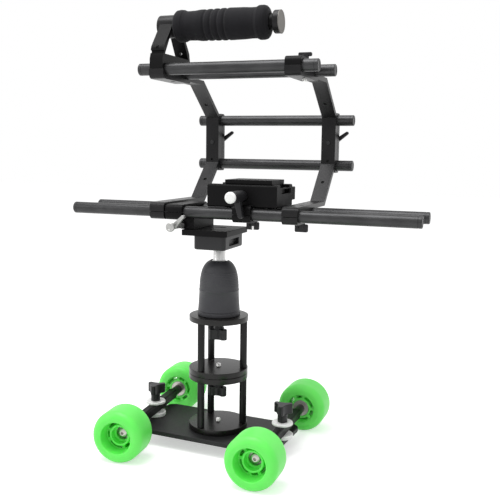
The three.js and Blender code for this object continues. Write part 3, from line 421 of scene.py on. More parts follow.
# Polished steel: the riser's studs, the deck screw and the wing screws' shanks.
polished_steel = grained(
    "polished_steel", "#cfcfcd", "#e2e2e0", 1.5, 0.22, 0.1, 0.01, metallic=1.0
)
# The ball and its stem are hard chrome. Their near-white colour is a painted reflection: forty
# percent of it is diffuse, and it paints in the white room that chrome mirrors.
chrome_with_painted_reflection = grained(
    "hard_chrome_painted_reflection", "#f2f2f1", "#f7f7f6", 2.0, 0.4, 0.02, 0.005, metallic=0.6
)
# Zinc-plated steel: the axle bolts' heads and the wheel bearings.
zinc_plated = grained(
    "zinc_plated_steel", "#b4b0ab", "#c8c5c0", 1.2, 0.35, 0.2, 0.02, metallic=1.0
)
# Cast zinc alloy: the rod base's lever, tumbled to a dull silver.
cast_zinc = grained(
    "tumbled_cast_zinc", "#a3a3a2", "#b6b6b4", 1.0, 0.42, 0.25, 0.03, metallic=0.8
)
# Blackened steel: the axle bolts' shanks and the round ends of the truck bars.
black_steel = grained(
    "blackened_steel", "#1c1c1d", "#272728", 1.0, 0.35, 0.15, 0.02, metallic=0.6
)
# The handle's end cap is bare bead-blasted aluminium.
blasted_cap = grained(
    "bead_blasted_aluminium", "#716e6a", "#7c7975", 0.8, 0.5, 0.3, 0.03, metallic=0.5
)


def cast_urethane():
    """Cast urethane: a tinted, slightly translucent tyre, satin where the mould polished it."""
    finish, tree, shader, own = new_finish("cast_green_urethane")
    cloud = add(
        tree, "ShaderNodeTexNoise", {"Scale": 1 / (22 * MM), "Detail": 1}, {"Vector": own}
    )
    tint = add(
        tree,
        "ShaderNodeMix",
        {6: linear("#5fee5a"), 7: linear("#78f76c")},
        {"Factor": cloud.outputs["Fac"]},
        data_type="RGBA",
    )
    tree.links.new(tint.outputs[2], shader.inputs["Base Color"])
    scuff = add(
        tree, "ShaderNodeTexNoise", {"Scale": 1 / (1.4 * MM), "Detail": 2}, {"Vector": own}
    )
    dull = add(
        tree,
        "ShaderNodeMapRange",
        {"To Min": 0.36, "To Max": 0.5},
        {"Value": scuff.outputs["Fac"]},
    )
    tree.links.new(dull.outputs["Result"], shader.inputs["Roughness"])
    bump = add(
        tree,
        "ShaderNodeBump",
        {"Strength": 0.15, "Distance": 0.03 * MM},
        {"Height": scuff.outputs["Fac"]},
    )
    tree.links.new(bump.outputs["Normal"], shader.inputs["Normal"])
    shader.inputs["Subsurface Weight"].default_value = 0.4
    shader.inputs["Subsurface Radius"].default_value = (0.4, 1.0, 0.35)
    shader.inputs["Subsurface Scale"].default_value = 6 * MM
    shader.inputs["IOR"].default_value = 1.5
    return finish


def closed_cell_foam():
    """Closed-cell foam rubber: matt, with pores of about a millimetre on its surface."""
    finish, tree, shader, own = new_finish("black_foam_rubber")
    pores = add(
        tree, "ShaderNodeTexVoronoi", {"Scale": 1 / (1.3 * MM)}, {"Vector": own}
    )
    soft = add(
        tree, "ShaderNodeTexNoise", {"Scale": 1 / (9 * MM), "Detail": 3}, {"Vector": own}
    )
    tone = add(
        tree,
        "ShaderNodeMix",
        {6: linear("#121214"), 7: linear("#1d1c20")},
        {"Factor": soft.outputs["Fac"]},
        data_type="RGBA",
    )
    tree.links.new(tone.outputs[2], shader.inputs["Base Color"])
    bump = add(
        tree,
        "ShaderNodeBump",
        {"Strength": 0.6, "Distance": 0.15 * MM},
        {"Height": pores.outputs["Distance"]},
    )
    tree.links.new(bump.outputs["Normal"], shader.inputs["Normal"])
    shader.inputs["Roughness"].default_value = 0.9
    shader.inputs["Specular IOR Level"].default_value = 0.25
    shader.inputs["Sheen Weight"].default_value = 0.05
    return finish


urethane = cast_urethane()
foam_rubber = closed_cell_foam()


# Wheels, drawn with the outer face down and the axle along Z

POCKET_INNER = 14.2
POCKET_OUTER = 18.2
ROLLED = {"front_left": 0, "front_right": -45, "rear_left": 30, "rear_right": -15}


def wheel_tyre():
    well = eased(
        [
            (11.35, 3.25, 0),
            (8.5, 3.25, 0.4),
            (8.5, -1.25, 0.4),
            (11, -1.25, 0.3),
            (11, -9.75, 0.7),
            (13.8, -9.75, 0.8),
            (13.8, -5.75, 0.6),
            (18.9, -5.75, 1),
            (20.2, -21.75, 1.6),
            (24.6, -21.75, 0),
        ]
    )
    shoulders = arc(24.6, -12.85, 8.9, -90, 0, 12)[1:] + arc(24.6, 12.85, 8.9, 0, 90, 12)
    core = eased(
        [
            (24.6, 21.75, 0),
            (19.5, 21.75, 1.2),
            (19.5, 20.15, 0.4),
            (17.9, 18.55, 0.4),
            (11.35, 18.55, 0),
        ]
    )[1:]
    tyre = turned("tyre", well + shoulders + core, 96)
    pockets = []
    for third in range(3):
        for turn, width in ((-5 - 120 * third, 64), (-65 - 120 * third, 30)):
            start, end = turn - width / 2, turn + width / 2
            outline = arc(0, 0, POCKET_OUTER, start, end, 8)
            outline += arc(0, 0, POCKET_INNER, end, start, 8)
            pocket = pushed("pocket", outline, -8, 21)
            pockets.append(rims_eased(pocket, 1.3, 3, 60))
    return cut_out(tyre, *pockets)


def bearing_pair():
    """Two shielded bearings with their spacer; the outer races stand proud of the shields."""
    return turned(
        "bearings",
        [
            (4, 3.55),
            (6, 3.55),
            (6.1, 4.2),
            (9.0, 4.2),
            (9.2, 3.55),
            (10.7, 3.55),
            (11, 3.85),
            (11, 10.55),
            (6.2, 10.55),
            (6.2, 11.55),
            (11, 11.55),
            (11, 18.25),
            (10.7, 18.55),
            (9.2, 18.55),
            (9, 17.9),
            (6.1, 17.9),
            (6, 18.55),
            (4, 18.55),
        ],
    )


def bolt_head():
    """A button head with its hexagon socket."""
    head = turned(
        "head",
        eased(
            [
                (0, -2.05, 0),
                (3.4, -2.05, 1),
                (6.1, -0.9, 1.2),
                (6.6, 1, 0.8),
                (6.6, 3.25, 0.2),
                (0, 3.25, 0),
            ]
        ),
    )
    socket = pushed("socket", arc(0, 0, 2.3, 0, 300, 5), -4, 0.6)
    return cut_out(head, socket)


tyre, bearings, head = wheel_tyre(), bearing_pair(), bolt_head()
shank = turned("shank", [(0, 3), (3.6, 3), (3.6, 57.6), (3.1, 58), (0, 58)], 40)
for end in ("front", "rear"):
    for side, turn in (("left", 0), ("right", math.pi)):
        wheel = f"{end}_{side}"
        centre = middle(f"{wheel}_wheel")
        place = (
            Matrix.Translation(centre)
            @ on_truck[end].to_3x3().to_4x4()
            @ Matrix.Rotation(turn, 4, "Z")
            @ along_y
        )
        roll = Matrix.Rotation(math.radians(ROLLED[wheel]), 4, "Z")
        made(
            put(twin(tyre, f"{wheel}_tyre"), roll, place),
            urethane,
            "wheel_urethane",
            f"{wheel}_wheel",
            smooth=50,
        )
        made(
            put(twin(bearings, f"{wheel}_bearing_pair"), place),
            zinc_plated,
            "bright_steel",
            f"{wheel}_bearings",
        )
        made(
            put(twin(head, f"{wheel}_bolt_head"), place),
            zinc_plated,
            "bright_steel",
            f"{wheel}_axle_bolt",
        )
        made(
            put(twin(shank, f"{wheel}_bolt_shank"), place),
            black_steel,
            "bright_steel",
            f"{wheel}_axle_bolt",
        )
for pattern in (tyre, bearings, head, shank):
    bpy.data.objects.remove(pattern)


# Star knobs: three lobes with hollows between them

# Radius of a lobe, its distance from the axis, radius of a hollow, radius of the waist
PIVOT_STAR = (3.6, 10, 16.15, 6.6)
RISER_STAR = (4.8, 8.8, 8, 6.4)


def star_outline(turn, lobe, out, hollow, waist):
    """Three lobes of one radius, set out from the axis, with hollows that reach the waist."""
    valley = waist + hollow
    side = Vector((valley * math.cos(math.pi / 3), valley * math.sin(math.pi / 3)))
    lean = math.degrees(math.atan2(side.y, side.x - out))
    outline = []
    for i in range(3):
        centre = turn + 120 * i
        swing = math.radians(centre)
        cx, cy = out * math.cos(swing), out * math.sin(swing)
        outline += arc(cx, cy, lobe, centre - lean, centre + lean, 12)
        gap = math.radians(centre + 60)
        vx, vy = valley * math.cos(gap), valley * math.sin(gap)
        start = centre + lean - 180
        outline += arc(vx, vy, hollow, start, start + 120 - 2 * lean, 8)[1:-1]
    return outline


def star_knob(bottom, top, turn, shape):
    outline = star_outline(turn, *shape)
    return rims_eased(pushed("knob", outline, bottom, top), 1.1, 4, 50)


# Trucks: a bar across the deck on a white disc, with a washer and a star knob on its pivot

AXLE_HEIGHT = 33.5
BAR_END = 62
PIVOT_KNOB_TURN = 35


def truck_pieces(end):
    place = on_truck[end]
    bar = rims_eased(
        pushed("bar", rounded_rectangle(13, 12, 2.5, 6), -BAR_END, BAR_END), 0.7, 2, 60
    )
    lift = at(0, 0, AXLE_HEIGHT)
    put(bar, Matrix.Rotation(math.pi / 2, 4, "Z"), along_y, lift, place)
    bar.name = f"{end}_bar"
    made(bar, anodised, "black_anodised", f"{end}_truck_bar", flats=True)
    for side in (-1, 1):
        stub = turned(
            f"{end}_bar_stub",
            [(4.2, 61.6), (6.2, 61.6), (6.2, 82.2), (5.7, 82.7), (4.2, 82.7)],
            48,
        )
        facing = Matrix.Rotation(math.pi * (side < 0), 4, "Z")
        put(stub, along_y, facing, lift, place)
        made(stub, black_steel, "black_anodised", f"{end}_truck_bar")
    disc = turned(
        f"{end}_disc",
        eased([(4.3, 22.3, 0), (14, 22.3, 0.9), (14, 27.4, 0.9), (4.3, 27.4, 0)]),
    )
    made(put(disc, place), white_nylon, "white_nylon", f"{end}_truck_bar")
    washer = turned(
        f"{end}_washer",
        eased([(4.3, 39.8, 0), (13.6, 39.8, 0.7), (13.6, 43, 1.0), (4.3, 43, 0)]),
    )
    made(put(washer, place), white_nylon, "white_nylon", f"{end}_pivot_washer")
    neck = turned(
        "neck",
        eased(
            [
                (0, 43.3, 0),
                (6.4, 43.3, 0.5),
                (6.4, 52.5, 1.5),
                (7.6, 54.5, 0.2),
                (0, 54.5, 0),
            ]
        ),
    )
    stud = turned("stud", [(0, 16.3), (3.6, 16.3), (4, 16.7), (4, 44), (0, 44)], 32)
    knob = welded(star_knob(53.8, 66.8, PIVOT_KNOB_TURN, PIVOT_STAR), neck, stud)
    knob.name = f"{end}_star_knob"
    made(put(knob, place), moulded_abs, "moulded_black", f"{end}_pivot_knob", flats=True)


truck_pieces("front")
truck_pieces("rear")


# Deck and riser

DECK_LENGTH = 204
DECK_WIDTH = 104
DECK_CORNER = 14
DECK_BOTTOM = 16
DECK_TOP = 22
PIVOT_PLACE = 95
DECK_SCREW_PLACE = 2.3
PLATE_RADIUS = 39
PLATE_THICKNESS = 7.2
PLATE_HOLE = 3.4
POST_RADIUS = 4.7
STUD_RADIUS = 3.1
THREAD_DEPTH = 0.35
RISER_KNOB_TURN = 96


def deck_board():
    outline = rounded_rectangle(DECK_LENGTH, DECK_WIDTH, DECK_CORNER, 10)
    board = rims_eased(pushed("deck_board", outline, DECK_BOTTOM, DECK_TOP), 0.9, 3, 60)
    holes = [
        put(turned("pivot_hole", [(0, 10), (4.3, 10), (4.3, 30), (0, 30)], 32), at(x, 0, 0))
        for x in (-PIVOT_PLACE, PIVOT_PLACE)
    ]
    seat = turned(
        "screw_seat", [(0, 10), (6.3, 10), (6.3, 19.2), (3.4, 19.2), (3.4, 30), (0, 30)], 32
    )
    cut_out(board, *holes, put(seat, at(DECK_SCREW_PLACE, 0, 0)))
    return made(put(board, on_deck), powder_coat, "deck_paint", "deck_plate", flats=True)


deck_board()


def riser_plates():
    for node in (
        "riser_bottom_plate",
        "riser_lower_mid_plate",
        "riser_upper_mid_plate",
        "riser_top_plate",
    ):
        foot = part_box(node)[0].z / MM
        plate = turned(
            f"{node}_disc",
            eased(
                [
                    (PLATE_HOLE, foot, 0),
                    (PLATE_RADIUS, foot, 0.7),
                    (PLATE_RADIUS, foot + PLATE_THICKNESS, 0.7),
                    (PLATE_HOLE, foot + PLATE_THICKNESS, 0),
                ]
            ),
            120,
        )
        made(put(plate, on_rig), turned_plate, "black_anodised", node)


def riser_posts():
    for row in ("lower", "upper"):
        for i in range(3):
            node = f"{row}_post_{i + 1}"
            low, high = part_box(node)
            foot, top = low.z / MM, high.z / MM
            post = turned(
                f"{node}_tube",
                eased(
                    [
                        (0, foot, 0),
                        (POST_RADIUS, foot, 0.5),
                        (POST_RADIUS, top, 0.5),
                        (0, top, 0),
                    ]
                ),
                40,
            )
            centre = middle(node)
            put(post, Matrix.Translation((centre.x, centre.y, 0)))
            made(post, bar_face, "black_anodised", node)


riser_plates()
riser_posts()


def threaded(foot, top, radius, pitch=1.27):
    """A stud with its thread drawn as rings, 1.27 mm apart on a camera screw."""
    profile = [(0, foot)]
    rings = int((top - foot) / pitch)
    for i in range(rings):
        height = foot + i * pitch
        profile += [(radius - THREAD_DEPTH, height), (radius, height + pitch / 2)]
    profile += [(radius - THREAD_DEPTH, foot + rings * pitch), (radius - 0.8, top), (0, top)]
    return turned("stud", profile, 32)


def riser_knobs():
    for place, bottom, top, reach, tip in (
        ("middle", 65.8, 78.4, 90.4, 109),
        ("top", 142.2, 156.7, 168.2, 187.7),
    ):
        neck = turned(
            "neck",
            eased(
                [
                    (0, top - 2, 0),
                    (7.2, top - 2, 0.4),
                    (6, top + 2.5, 1.5),
                    (6, reach, 0.5),
                    (0, reach, 0),
                ]
            ),
        )
        knob = welded(star_knob(bottom, top, RISER_KNOB_TURN, RISER_STAR), neck)
        knob.name = f"{place}_star_knob"
        made(put(knob, on_rig), moulded_abs, "moulded_black", f"riser_{place}_knob", flats=True)
        stud = threaded(reach - 2, tip, STUD_RADIUS)
        stud.name = f"{place}_stud"
        made(put(stud, on_rig), polished_steel, "bright_steel", f"riser_{place}_knob")
    low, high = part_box("deck_screw")
    foot, tip = low.z / MM, high.z / MM
    seat = foot + 2.6
    head = turned("head", eased([(0, foot, 0), (6, foot, 0.5), (6, seat, 0.2), (0, seat, 0)]))
    socket = pushed("socket", arc(0, 0, 2.6, 0, 300, 5), foot - 2, foot + 1.6)
    screw = welded(cut_out(head, socket), threaded(foot + 2, tip, STUD_RADIUS))
    screw.name = "deck_screw_through_plate"
    made(put(screw, on_rig), polished_steel, "bright_steel", "deck_screw")


riser_knobs()


# Ball head

CROWN_FOOT = 36  # over the head's foot, where the straight side ends
CROWN_RISE = 36.5
CROWN_FLAT = 7
CROWN_REACH = 18.8
CROWN_SHARE = 2 / 2.3  # power of the crown's curve, 1 for an ellipse
CROWN_STEPS = 160
RING_DEPTH = 0.34
RING_PITCH = 2.1
MOUTH_RADIUS = 11.9
BALL_CENTRE = 235
BALL_RADIUS = 15.5
BOWL_RADIUS = 15.85
STEM_RADIUS = 8
LOCK_HEIGHT = 202
LOCK_TURN = 110
FLUTES = 12


def head_shell():
    """A bullet-shaped housing on a collar, with fine rings round its lower crown."""
    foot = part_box("head_housing")[0].z / MM
    side = [
        (0, 0, 0),
        (28, 0, 0.6),
        (28, 4.6, 0.6),
        (27.1, 5, 0.2),
        (27.1, 6.1, 0.2),
        (27.7, 6.5, 0.4),
        (27.4, 8, 0.5),
        (27, 12.6, 3),
        (26.7, 17, 3),
        (26.3, 24, 3),
        (25.95, 32.7, 0),
        (26.35, 33.1, 0),
        (26.35, 33.6, 0),
        (25.95, 34.0, 0),
        (25.85, 35, 0),
    ]
    profile = [(r, foot + h) for r, h in eased(side)]
    for i in range(CROWN_STEPS + 1):
        angle = math.pi / 2 * i / CROWN_STEPS
        radius = CROWN_FLAT + CROWN_REACH * math.cos(angle) ** CROWN_SHARE
        height = CROWN_FOOT + CROWN_RISE * math.sin(angle) ** CROWN_SHARE
        if 39.5 < height < 58:
            radius -= RING_DEPTH * (1 - math.cos(math.tau * height / RING_PITCH)) / 2
        if radius > MOUTH_RADIUS:
            profile.append((radius, foot + height))
    ball = 59 + foot
    mouth = [(MOUTH_RADIUS, foot + 72.1), (11.5, foot + 71.5)]
    bowl = arc(0, ball, BOWL_RADIUS, 43.5, -30, 10)
    floor = ball - BOWL_RADIUS
    profile += mouth + bowl + [(bowl[-1][0], floor), (0, floor)]
    shell = turned("head_shell", profile, 96)
    notch = pushed("notch", rounded_rectangle(17.5, 40, 2, 4), ball + 3, ball + 30)
    rims_eased(notch, 1.5, 3, 60)
    cut_out(shell, put(notch, at(0, 20, 0)))
    return made(put(shell, on_rig), textured_paint, "head_shell", "head_housing", smooth=50)


def head_ball():
    """The ball with its chromed stem."""
    foot = (0, BALL_CENTRE - BALL_RADIUS)
    profile = [foot] + arc(0, BALL_CENTRE, BALL_RADIUS, -90, 57, 24)[1:]
    profile += [(STEM_RADIUS, BALL_CENTRE + 13.6), (STEM_RADIUS, 263.7), (7.7, 264.2), (0, 264.2)]
    piece = turned("ball_with_stem", profile, 64)
    # The ball and stem finish is partly a painted reflection: a near-white diffuse part on top of
    # the chrome.
    return made(put(piece, on_rig), chrome_with_painted_reflection, "bright_steel", "ball_and_stem")


def lock_knob():
    """The knob that clamps the ball, fluted round its rim."""
    flutes = []
    for i in range(FLUTES):
        turn = 30 * i
        flutes += arc(0, 0, 10.5, turn - 9, turn + 9, 4)
        valley = math.radians(turn + 15)
        flutes.append((9.7 * math.cos(valley), 9.7 * math.sin(valley)))
    grip = rims_eased(pushed("grip", flutes, 29.65, 39.4), 0.8, 3, 60)
    shaft = turned("shaft", [(0, 18), (3.6, 18), (3.6, 30), (0, 30)], 32)
    knob = welded(grip, shaft)
    knob.name = "lock_knob_fluted"
    facing = Matrix.Rotation(math.radians(LOCK_TURN), 4, "Z")
    put(knob, along_x, at(0, 0, LOCK_HEIGHT), facing, on_rig)
    return made(knob, moulded_abs, "moulded_black", "head_lock_knob")


head_shell()
head_ball()
lock_knob()


# Rods: drawn tubes with a plug in each end

ROD_RADIUS = 7.5
ROD_GROOVE = 7.2


def rod_pieces():
    for node in (
        "lower_rod_left",
        "lower_rod_right",
        "top_rod_left",
        "top_rod_right",
        "side_rod_upper",
        "side_rod_lower",
    ):
        low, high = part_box(node)
        half = (high.x - low.x) / MM / 2
        near = [
            (0, -half + 0.5),
            (4.6, -half + 0.5),
            (5.4, -half),
            (6.8, -half),
            (ROD_RADIUS, -half + 0.8),
            (ROD_RADIUS, -half + 4.3),
            (ROD_GROOVE, -half + 4.5),
            (ROD_GROOVE, -half + 4.9),
            (ROD_RADIUS, -half + 5.1),
        ]
        far = [(r, -h) for r, h in reversed(near)]
        rod = turned(f"{node}_tube", near + far, 64)
        put(rod, along_x, Matrix.Translation((low + high) / 2))
        made(rod, rod_tube, "rod_black", node)


rod_pieces()


# Machined blocks and bent bars: the node's own shape with broken edges


def machined(node, name, finish, slot, width=0.6):
    piece = merged_copy(node, name)
    rims_eased(piece, width, 2, 40)
    return made(piece, finish, slot, node, smooth=42, flats=True)


machined("front_c_arm", "front_arm_bar", bar_face, "black_anodised", 0.5)
machined("rear_c_arm", "rear_arm_bar", bar_face, "black_anodised", 0.5)
machined("rear_top_jaw", "rear_jaw", anodised, "black_anodised")
machined("handle_bracket", "bracket_casting", anodised, "black_anodised")
machined("rod_base", "rod_base_block", anodised, "black_anodised")
machined("base_plate", "base_plate_milled", anodised, "black_anodised", 0.5)
machined("quick_clamp", "quick_clamp_body", moulded_abs, "moulded_black", 0.4)
machined("camera_platform", "platform_block", anodised, "black_anodised", 0.6)
machined("platform_latch", "latch_slider", anodised, "black_anodised", 0.8)
machined("camera_plate", "camera_plate_milled", anodised, "black_anodised", 0.5)


# Handle

TUBE_RADIUS = 9.5
GRIP_LENGTH = 126
GRIP_BORE = 9.85
GRIP_RINGS = 4
GRIP_RING_START = 42.9
GRIP_RING_PITCH = 9.2
GRIP_RING_WIDTH = 2.1
GRIP_RING_DEPTH = 1.5


def handle_tube():
    low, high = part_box("handle_tube")
    length = (high.x - low.x) / MM
    end = length - 3.8
    tube = turned("handle_tube_bar", [(0, 0), (TUBE_RADIUS, 0), (TUBE_RADIUS, end), (0, end)])
    collar = turned(
        "handle_end_collar",
        eased(
            [
                (0, length - 8.6, 0),
                (13.6, length - 8.6, 0.6),
                (14.1, length - 7.6, 0.6),
                (14.1, length - 1, 0.2),
                (0, length - 1, 0),
            ]
        ),
    )
    cap = turned(
        "handle_end_cap",
        eased(
            [
                (0, length - 1, 0),
                (14.3, length - 1, 0.2),
                (14.3, length, 0.5),
                (12.6, length, 0.3),
                (12.2, length - 0.3, 0.3),
                (0, length - 0.3, 0),
            ]
        ),
    )
    centre = (low + high) / 2
    place = Matrix.Translation((low.x, centre.y, centre.z)) @ along_x
    for piece, finish in ((tube, anodised), (collar, bar_face), (cap, blasted_cap)):
        made(put(piece, place), finish, "black_anodised", "handle_tube")


def foam_grip():
    """Moulded foam with a bulge at each end, a slack waist and four ring grooves."""
    low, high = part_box("foam_grip")
    stations = [
        (0.0, 15.0),
        (1.2, 17.8),
        (3.5, 19.6),
        (7.5, 20.1),
        (11.5, 19.8),
        (14.0, 18.6),
        (17.0, 18.0),
        (26.0, 18.2),
        (36.0, 19.2),
        (72.0, 19.6),
        (90.0, 19.3),
        (104.0, 18.6),
        (109.5, 18.7),
        (111.0, 19.6),
        (113.5, 20.7),
        (118.5, 20.7),
        (121.5, 20.0),
        (123.5, 18.2),
        (124.8, 14.6),
        (126.0, 13.0),
    ]
    outside = []
    for i in range(2 * GRIP_LENGTH + 1):
        x = i / 2
        for (x0, r0), (x1, r1) in zip(stations, stations[1:]):
            if x0 <= x <= x1:
                t = (x - x0) / (x1 - x0)
                t = t * t * (3 - 2 * t)
                radius = r0 + (r1 - r0) * t
        for ring in range(GRIP_RINGS):
            away = abs(x - (GRIP_RING_START + GRIP_RING_PITCH * ring)) / GRIP_RING_WIDTH
            radius -= GRIP_RING_DEPTH * math.exp(-away * away * 1.6)
        outside.append((radius, x))
    profile = [(GRIP_BORE, 0)] + outside + [(GRIP_BORE, GRIP_LENGTH)]
    grip = turned("foam_grip_sleeve", profile, 96)
    centre = (low + high) / 2
    put(grip, along_x, Matrix.Translation((low.x, centre.y, centre.z)))
    made(grip, foam_rubber, "grip_foam", "foam_grip", smooth=60)


def bracket_sleeve():
    """The sleeve that the bracket's legs hold the tube with, a little proud of them."""
    low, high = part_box("handle_bracket")
    axis = middle("handle_tube")
    width = (high.x - low.x) / MM
    sleeve = turned(
        "handle_bracket_sleeve",
        eased(
            [
                (9.8, 0, 0),
                (13.4, 0, 0.6),
                (14.4, 1, 0.6),
                (14.4, width - 0.3, 0.5),
                (9.8, width - 0.3, 0),
            ]
        ),
        96,
    )
    put(sleeve, along_x, Matrix.Translation((low.x, axis.y, axis.z)))
    made(sleeve, bar_face, "black_anodised", "handle_bracket")


handle_tube()
foam_grip()
bracket_sleeve()


# Levers and wing screws

ROD_BASE_LEVER = (-37.5, 0, 295.4)
PLATFORM_LEVER = (42.5, 0, 334.6)
SIDE_LEVER_HEIGHT = 402.5
SIDE_LEVER_SEAT = 164.4


def lever_arm(length, width, thick, swing):
    """A tapered arm with a rounded tip, from its barrel outwards."""
    outline = arc(0, 0, width / 2, 90, 270, 12)
    outline += arc(length - width / 3, 0, width / 3, -90, 90, 12)
    arm = rims_eased(pushed("arm", outline, 0, thick), 1.2, 3, 50)
    swung = Matrix.Rotation(math.radians(swing), 4, "Z")
    return put(arm, swung, Matrix.Rotation(math.pi / 2, 4, "X"))


def rod_base_lever():
    """The silver lever: a barrel, an arm and a round cap with a dished middle."""
    barrel = turned(
        "barrel",
        eased(
            [
                (0, -67, 0),
                (3.6, -67, 0.3),
                (3.6, -35.3, 0.5),
                (3, -35.3, 0),
                (3, -16.3, 0.3),
                (0, -16.3, 0),
            ]
        ),
    )
    cap = turned(
        "cap",
        eased(
            [
                (0, -70.1, 0),
                (2.6, -70.1, 0.3),
                (3.2, -70.7, 0.3),
                (5.1, -70.7, 0.6),
                (5.7, -69.8, 0.3),
                (5.7, -67.1, 0.4),
                (0, -67.1, 0),
            ]
        ),
    )
    lever = put(welded(barrel, cap), along_y)
    arm = put(lever_arm(20.5, 6.5, 6, 44), at(0, -56.3, 0))
    lever = welded(lever, arm)
    lever.name = "rod_base_lever_cast"
    put(lever, at(*ROD_BASE_LEVER), on_rig)
    return made(lever, cast_zinc, "bright_steel", "rod_base_lever", flats=True)


def platform_lever():
    """The ratchet lever: a black barrel and handle with a white push button on its end."""
    barrel = turned(
        "barrel",
        eased(
            [
                (0, -70.3, 0),
                (6.6, -70.3, 0.4),
                (7.4, -69.3, 0.6),
                (7.4, -32.3, 0.8),
                (3, -32.3, 0),
                (3, -24.3, 0),
                (0, -24.3, 0),
            ]
        ),
    )
    put(barrel, along_y)
    arm = put(lever_arm(27, 9, 8, -77), at(0, -45.4, 0))
    body = welded(barrel, arm)
    body.name = "platform_lever_body"
    place = at(*PLATFORM_LEVER)
    made(put(body, place, on_rig), moulded_abs, "moulded_black", "platform_lever", flats=True)
    button = turned(
        "platform_lever_button",
        eased(
            [
                (0, -72.9, 0),
                (5.6, -72.9, 1.2),
                (7, -71.6, 0.8),
                (7, -69.4, 0.3),
                (0, -69.4, 0),
            ]
        ),
    )
    made(put(button, along_y, place, on_rig), white_nylon, "white_nylon", "platform_lever")


def side_levers():
    for node, place in (("front_side_lever", -70.2), ("rear_side_lever", 107)):
        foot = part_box(node)[0].y - on_rig.translation.y
        seat = SIDE_LEVER_SEAT
        hub = turned(
            "hub",
            eased(
                [
                    (0, foot / MM, 0),
                    (3, foot / MM, 0.3),
                    (3, seat, 0),
                    (6, seat, 0.6),
                    (6, seat + 9, 1.2),
                    (0, seat + 9, 0),
                ]
            ),
            48,
        )
        arm = put(lever_arm(27, 7, 5, 36), at(0, seat + 7.25, 0))
        lever = welded(put(hub, along_y), arm)
        lever.name = f"{node}_moulded"
        put(lever, at(place, 0, SIDE_LEVER_HEIGHT), on_rig)
        made(lever, moulded_abs, "moulded_black", node, flats=True)


def wing_screw(node, x, seat, rise, height, tip, flip, bright):
    """A moulded wing on a threaded shank; the seat is at its top, or at its foot when flipped."""
    outline = rounded_rectangle(17, height, min(1.8, height / 3), 5)
    wing = rims_eased(pushed("wing", outline, -1.8, 1.8), 0.7, 3, 60)
    put(wing, Matrix.Rotation(math.pi / 2, 4, "X"), at(0, 0, -rise))
    hub = turned(
        "hub",
        eased([(0, -rise, 0), (4.6, -rise, 0.3), (4.6, -1, 0.4), (4.2, 0, 0.3), (0, 0, 0)]),
        40,
    )
    place = at(x, 0, seat)
    if flip:
        place = place @ Matrix.Rotation(math.pi, 4, "X")
    grip = welded(wing, hub)
    grip.name = f"{node}_wing"
    made(put(grip, place, on_rig), moulded_abs, "moulded_black", node, flats=True)
    length = (seat - tip) if flip else (tip - seat)
    shank = threaded(-0.5, length, 3, 1.0)
    shank.name = f"{node}_shank"
    made(put(shank, place, on_rig), polished_steel, "bright_steel", node)
    if bright:
        end = -rise - height / 2 - 0.1
        button = turned(
            f"{node}_insert",
            eased([(0, end, 0), (2.6, end, 0.4), (2.6, -rise, 0), (0, -rise, 0)]),
            32,
        )
        made(put(button, place, on_rig), polished_steel, "bright_steel", node)


rod_base_lever()
platform_lever()
side_levers()
for node, bright in (
    ("rear_wing_screw", False),
    ("platform_wing_screw", True),
    ("top_wing_screw", False),
):
    low, high = (corner - on_rig.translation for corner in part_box(node))
    x, foot, top = (low.x + high.x) / 2 / MM, low.z / MM, high.z / MM
    if node == "top_wing_screw":
        wing_screw(node, x, top - 7.6, 5.2, 4.8, foot, True, bright)
    else:
        wing_screw(node, x, foot + 11.5, 6.5, 10, top, False, bright)


# Studio

# The view: degrees round, above and rolled, then millimetres
VIEW_ROUND, VIEW_ABOVE, VIEW_ROLL = 19.91, 7.60, 0.76
VIEW_AIM, VIEW_HEIGHT, VIEW_DISTANCE = 40.55, 261.96, 965.30


def seen_rays(tree):
    """A node that is 1 for camera, glossy and transmission rays, and 0 for all others."""
    rays = add(tree, "ShaderNodeLightPath")
    seen = add(
        tree,
        "ShaderNodeMath",
        None,
        {0: rays.outputs["Is Camera Ray"], 1: rays.outputs["Is Glossy Ray"]},
        operation="MAXIMUM",
    )
    shown = add(
        tree,
        "ShaderNodeMath",
        None,
        {0: seen.outputs["Value"], 1: rays.outputs["Is Transmission Ray"]},
        operation="MAXIMUM",
    )
    return shown


def studio_floor():
    bpy.ops.mesh.primitive_plane_add(size=12, location=(0, 0, 0))
    floor = bpy.context.object
    floor.name = "studio_floor"
    paper = bpy.data.materials.new("white_paper_sweep")
    paper.use_nodes = True
    tree = paper.node_tree
    tree.nodes.clear()
    shown = seen_rays(tree)
    glow = add(
        tree,
        "ShaderNodeMath",
        {1: 0.5},
        {0: shown.outputs["Value"]},
        operation="MULTIPLY",
    )
    diffuse = add(tree, "ShaderNodeBsdfDiffuse", {"Color": (0.82, 0.82, 0.82, 1)})
    lit = add(tree, "ShaderNodeEmission", None, {"Strength": glow.outputs["Value"]})
    both = add(
        tree,
        "ShaderNodeAddShader",
        None,
        {0: diffuse.outputs["BSDF"], 1: lit.outputs["Emission"]},
    )
    add(tree, "ShaderNodeOutputMaterial", None, {"Surface": both.outputs["Shader"]})
    floor.data.materials.append(paper)


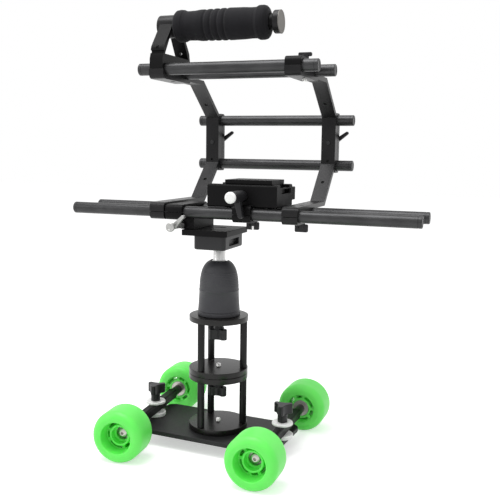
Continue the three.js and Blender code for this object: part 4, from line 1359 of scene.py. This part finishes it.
def studio_sky():
    world = bpy.data.worlds.new("white_studio")
    bpy.context.scene.world = world
    world.use_nodes = True
    tree = world.node_tree
    shown = seen_rays(tree)
    level = add(
        tree,
        "ShaderNodeMapRange",
        {"To Min": 0.68, "To Max": 1.0},
        {"Value": shown.outputs["Value"]},
    )
    background = tree.nodes["Background"]
    background.inputs["Color"].default_value = (1, 1, 1, 1)
    tree.links.new(level.outputs["Result"], background.inputs["Strength"])


def studio_lamp(name, place, aim, size, power):
    bpy.ops.object.light_add(type="AREA", location=place)
    lamp = bpy.context.object
    lamp.name = name
    lamp.data.size = size
    lamp.data.energy = power
    towards = Vector(aim) - Vector(place)
    lamp.rotation_euler = towards.to_track_quat("-Z", "Y").to_euler()


def studio_camera():
    """The photograph's view: 19.9 degrees round, 7.6 above, and a slight roll."""
    angles = (VIEW_ROUND, VIEW_ABOVE, VIEW_ROLL)
    round_, above, roll = (math.radians(angle) for angle in angles)
    back = Vector(
        (
            math.sin(round_) * math.cos(above),
            -math.cos(round_) * math.cos(above),
            math.sin(above),
        )
    )
    aim = Vector((VIEW_AIM * math.cos(round_), VIEW_AIM * math.sin(round_), VIEW_HEIGHT)) * MM
    aim += on_rig.translation
    right = (-back).cross(Vector((0, 0, 1))).normalized()
    up = right.cross(-back)
    side = right * math.cos(roll) + up * math.sin(roll)
    head = up * math.cos(roll) - right * math.sin(roll)
    bpy.ops.object.camera_add()
    camera = bpy.context.object
    camera.name = "studio_camera"
    turn = Matrix((side, head, back)).transposed().to_4x4()
    camera.matrix_world = Matrix.Translation(aim + back * VIEW_DISTANCE * MM) @ turn
    camera.data.sensor_width = 36
    camera.data.lens = 53.19
    camera.data.shift_x = -0.0009
    camera.data.shift_y = -0.00038
    camera.data.clip_start = 0.01
    bpy.context.scene.camera = camera


studio_floor()
studio_sky()
studio_lamp("overhead_softbox", (-0.35, -0.35, 2.1), (0, 0, 0.3), 1.2, 28)
studio_lamp("side_softbox", (-1.8, -1.4, 1.2), (0, 0, 0.3), 1.2, 8)
studio_camera()
bpy.context.scene.view_settings.view_transform = "Standard"
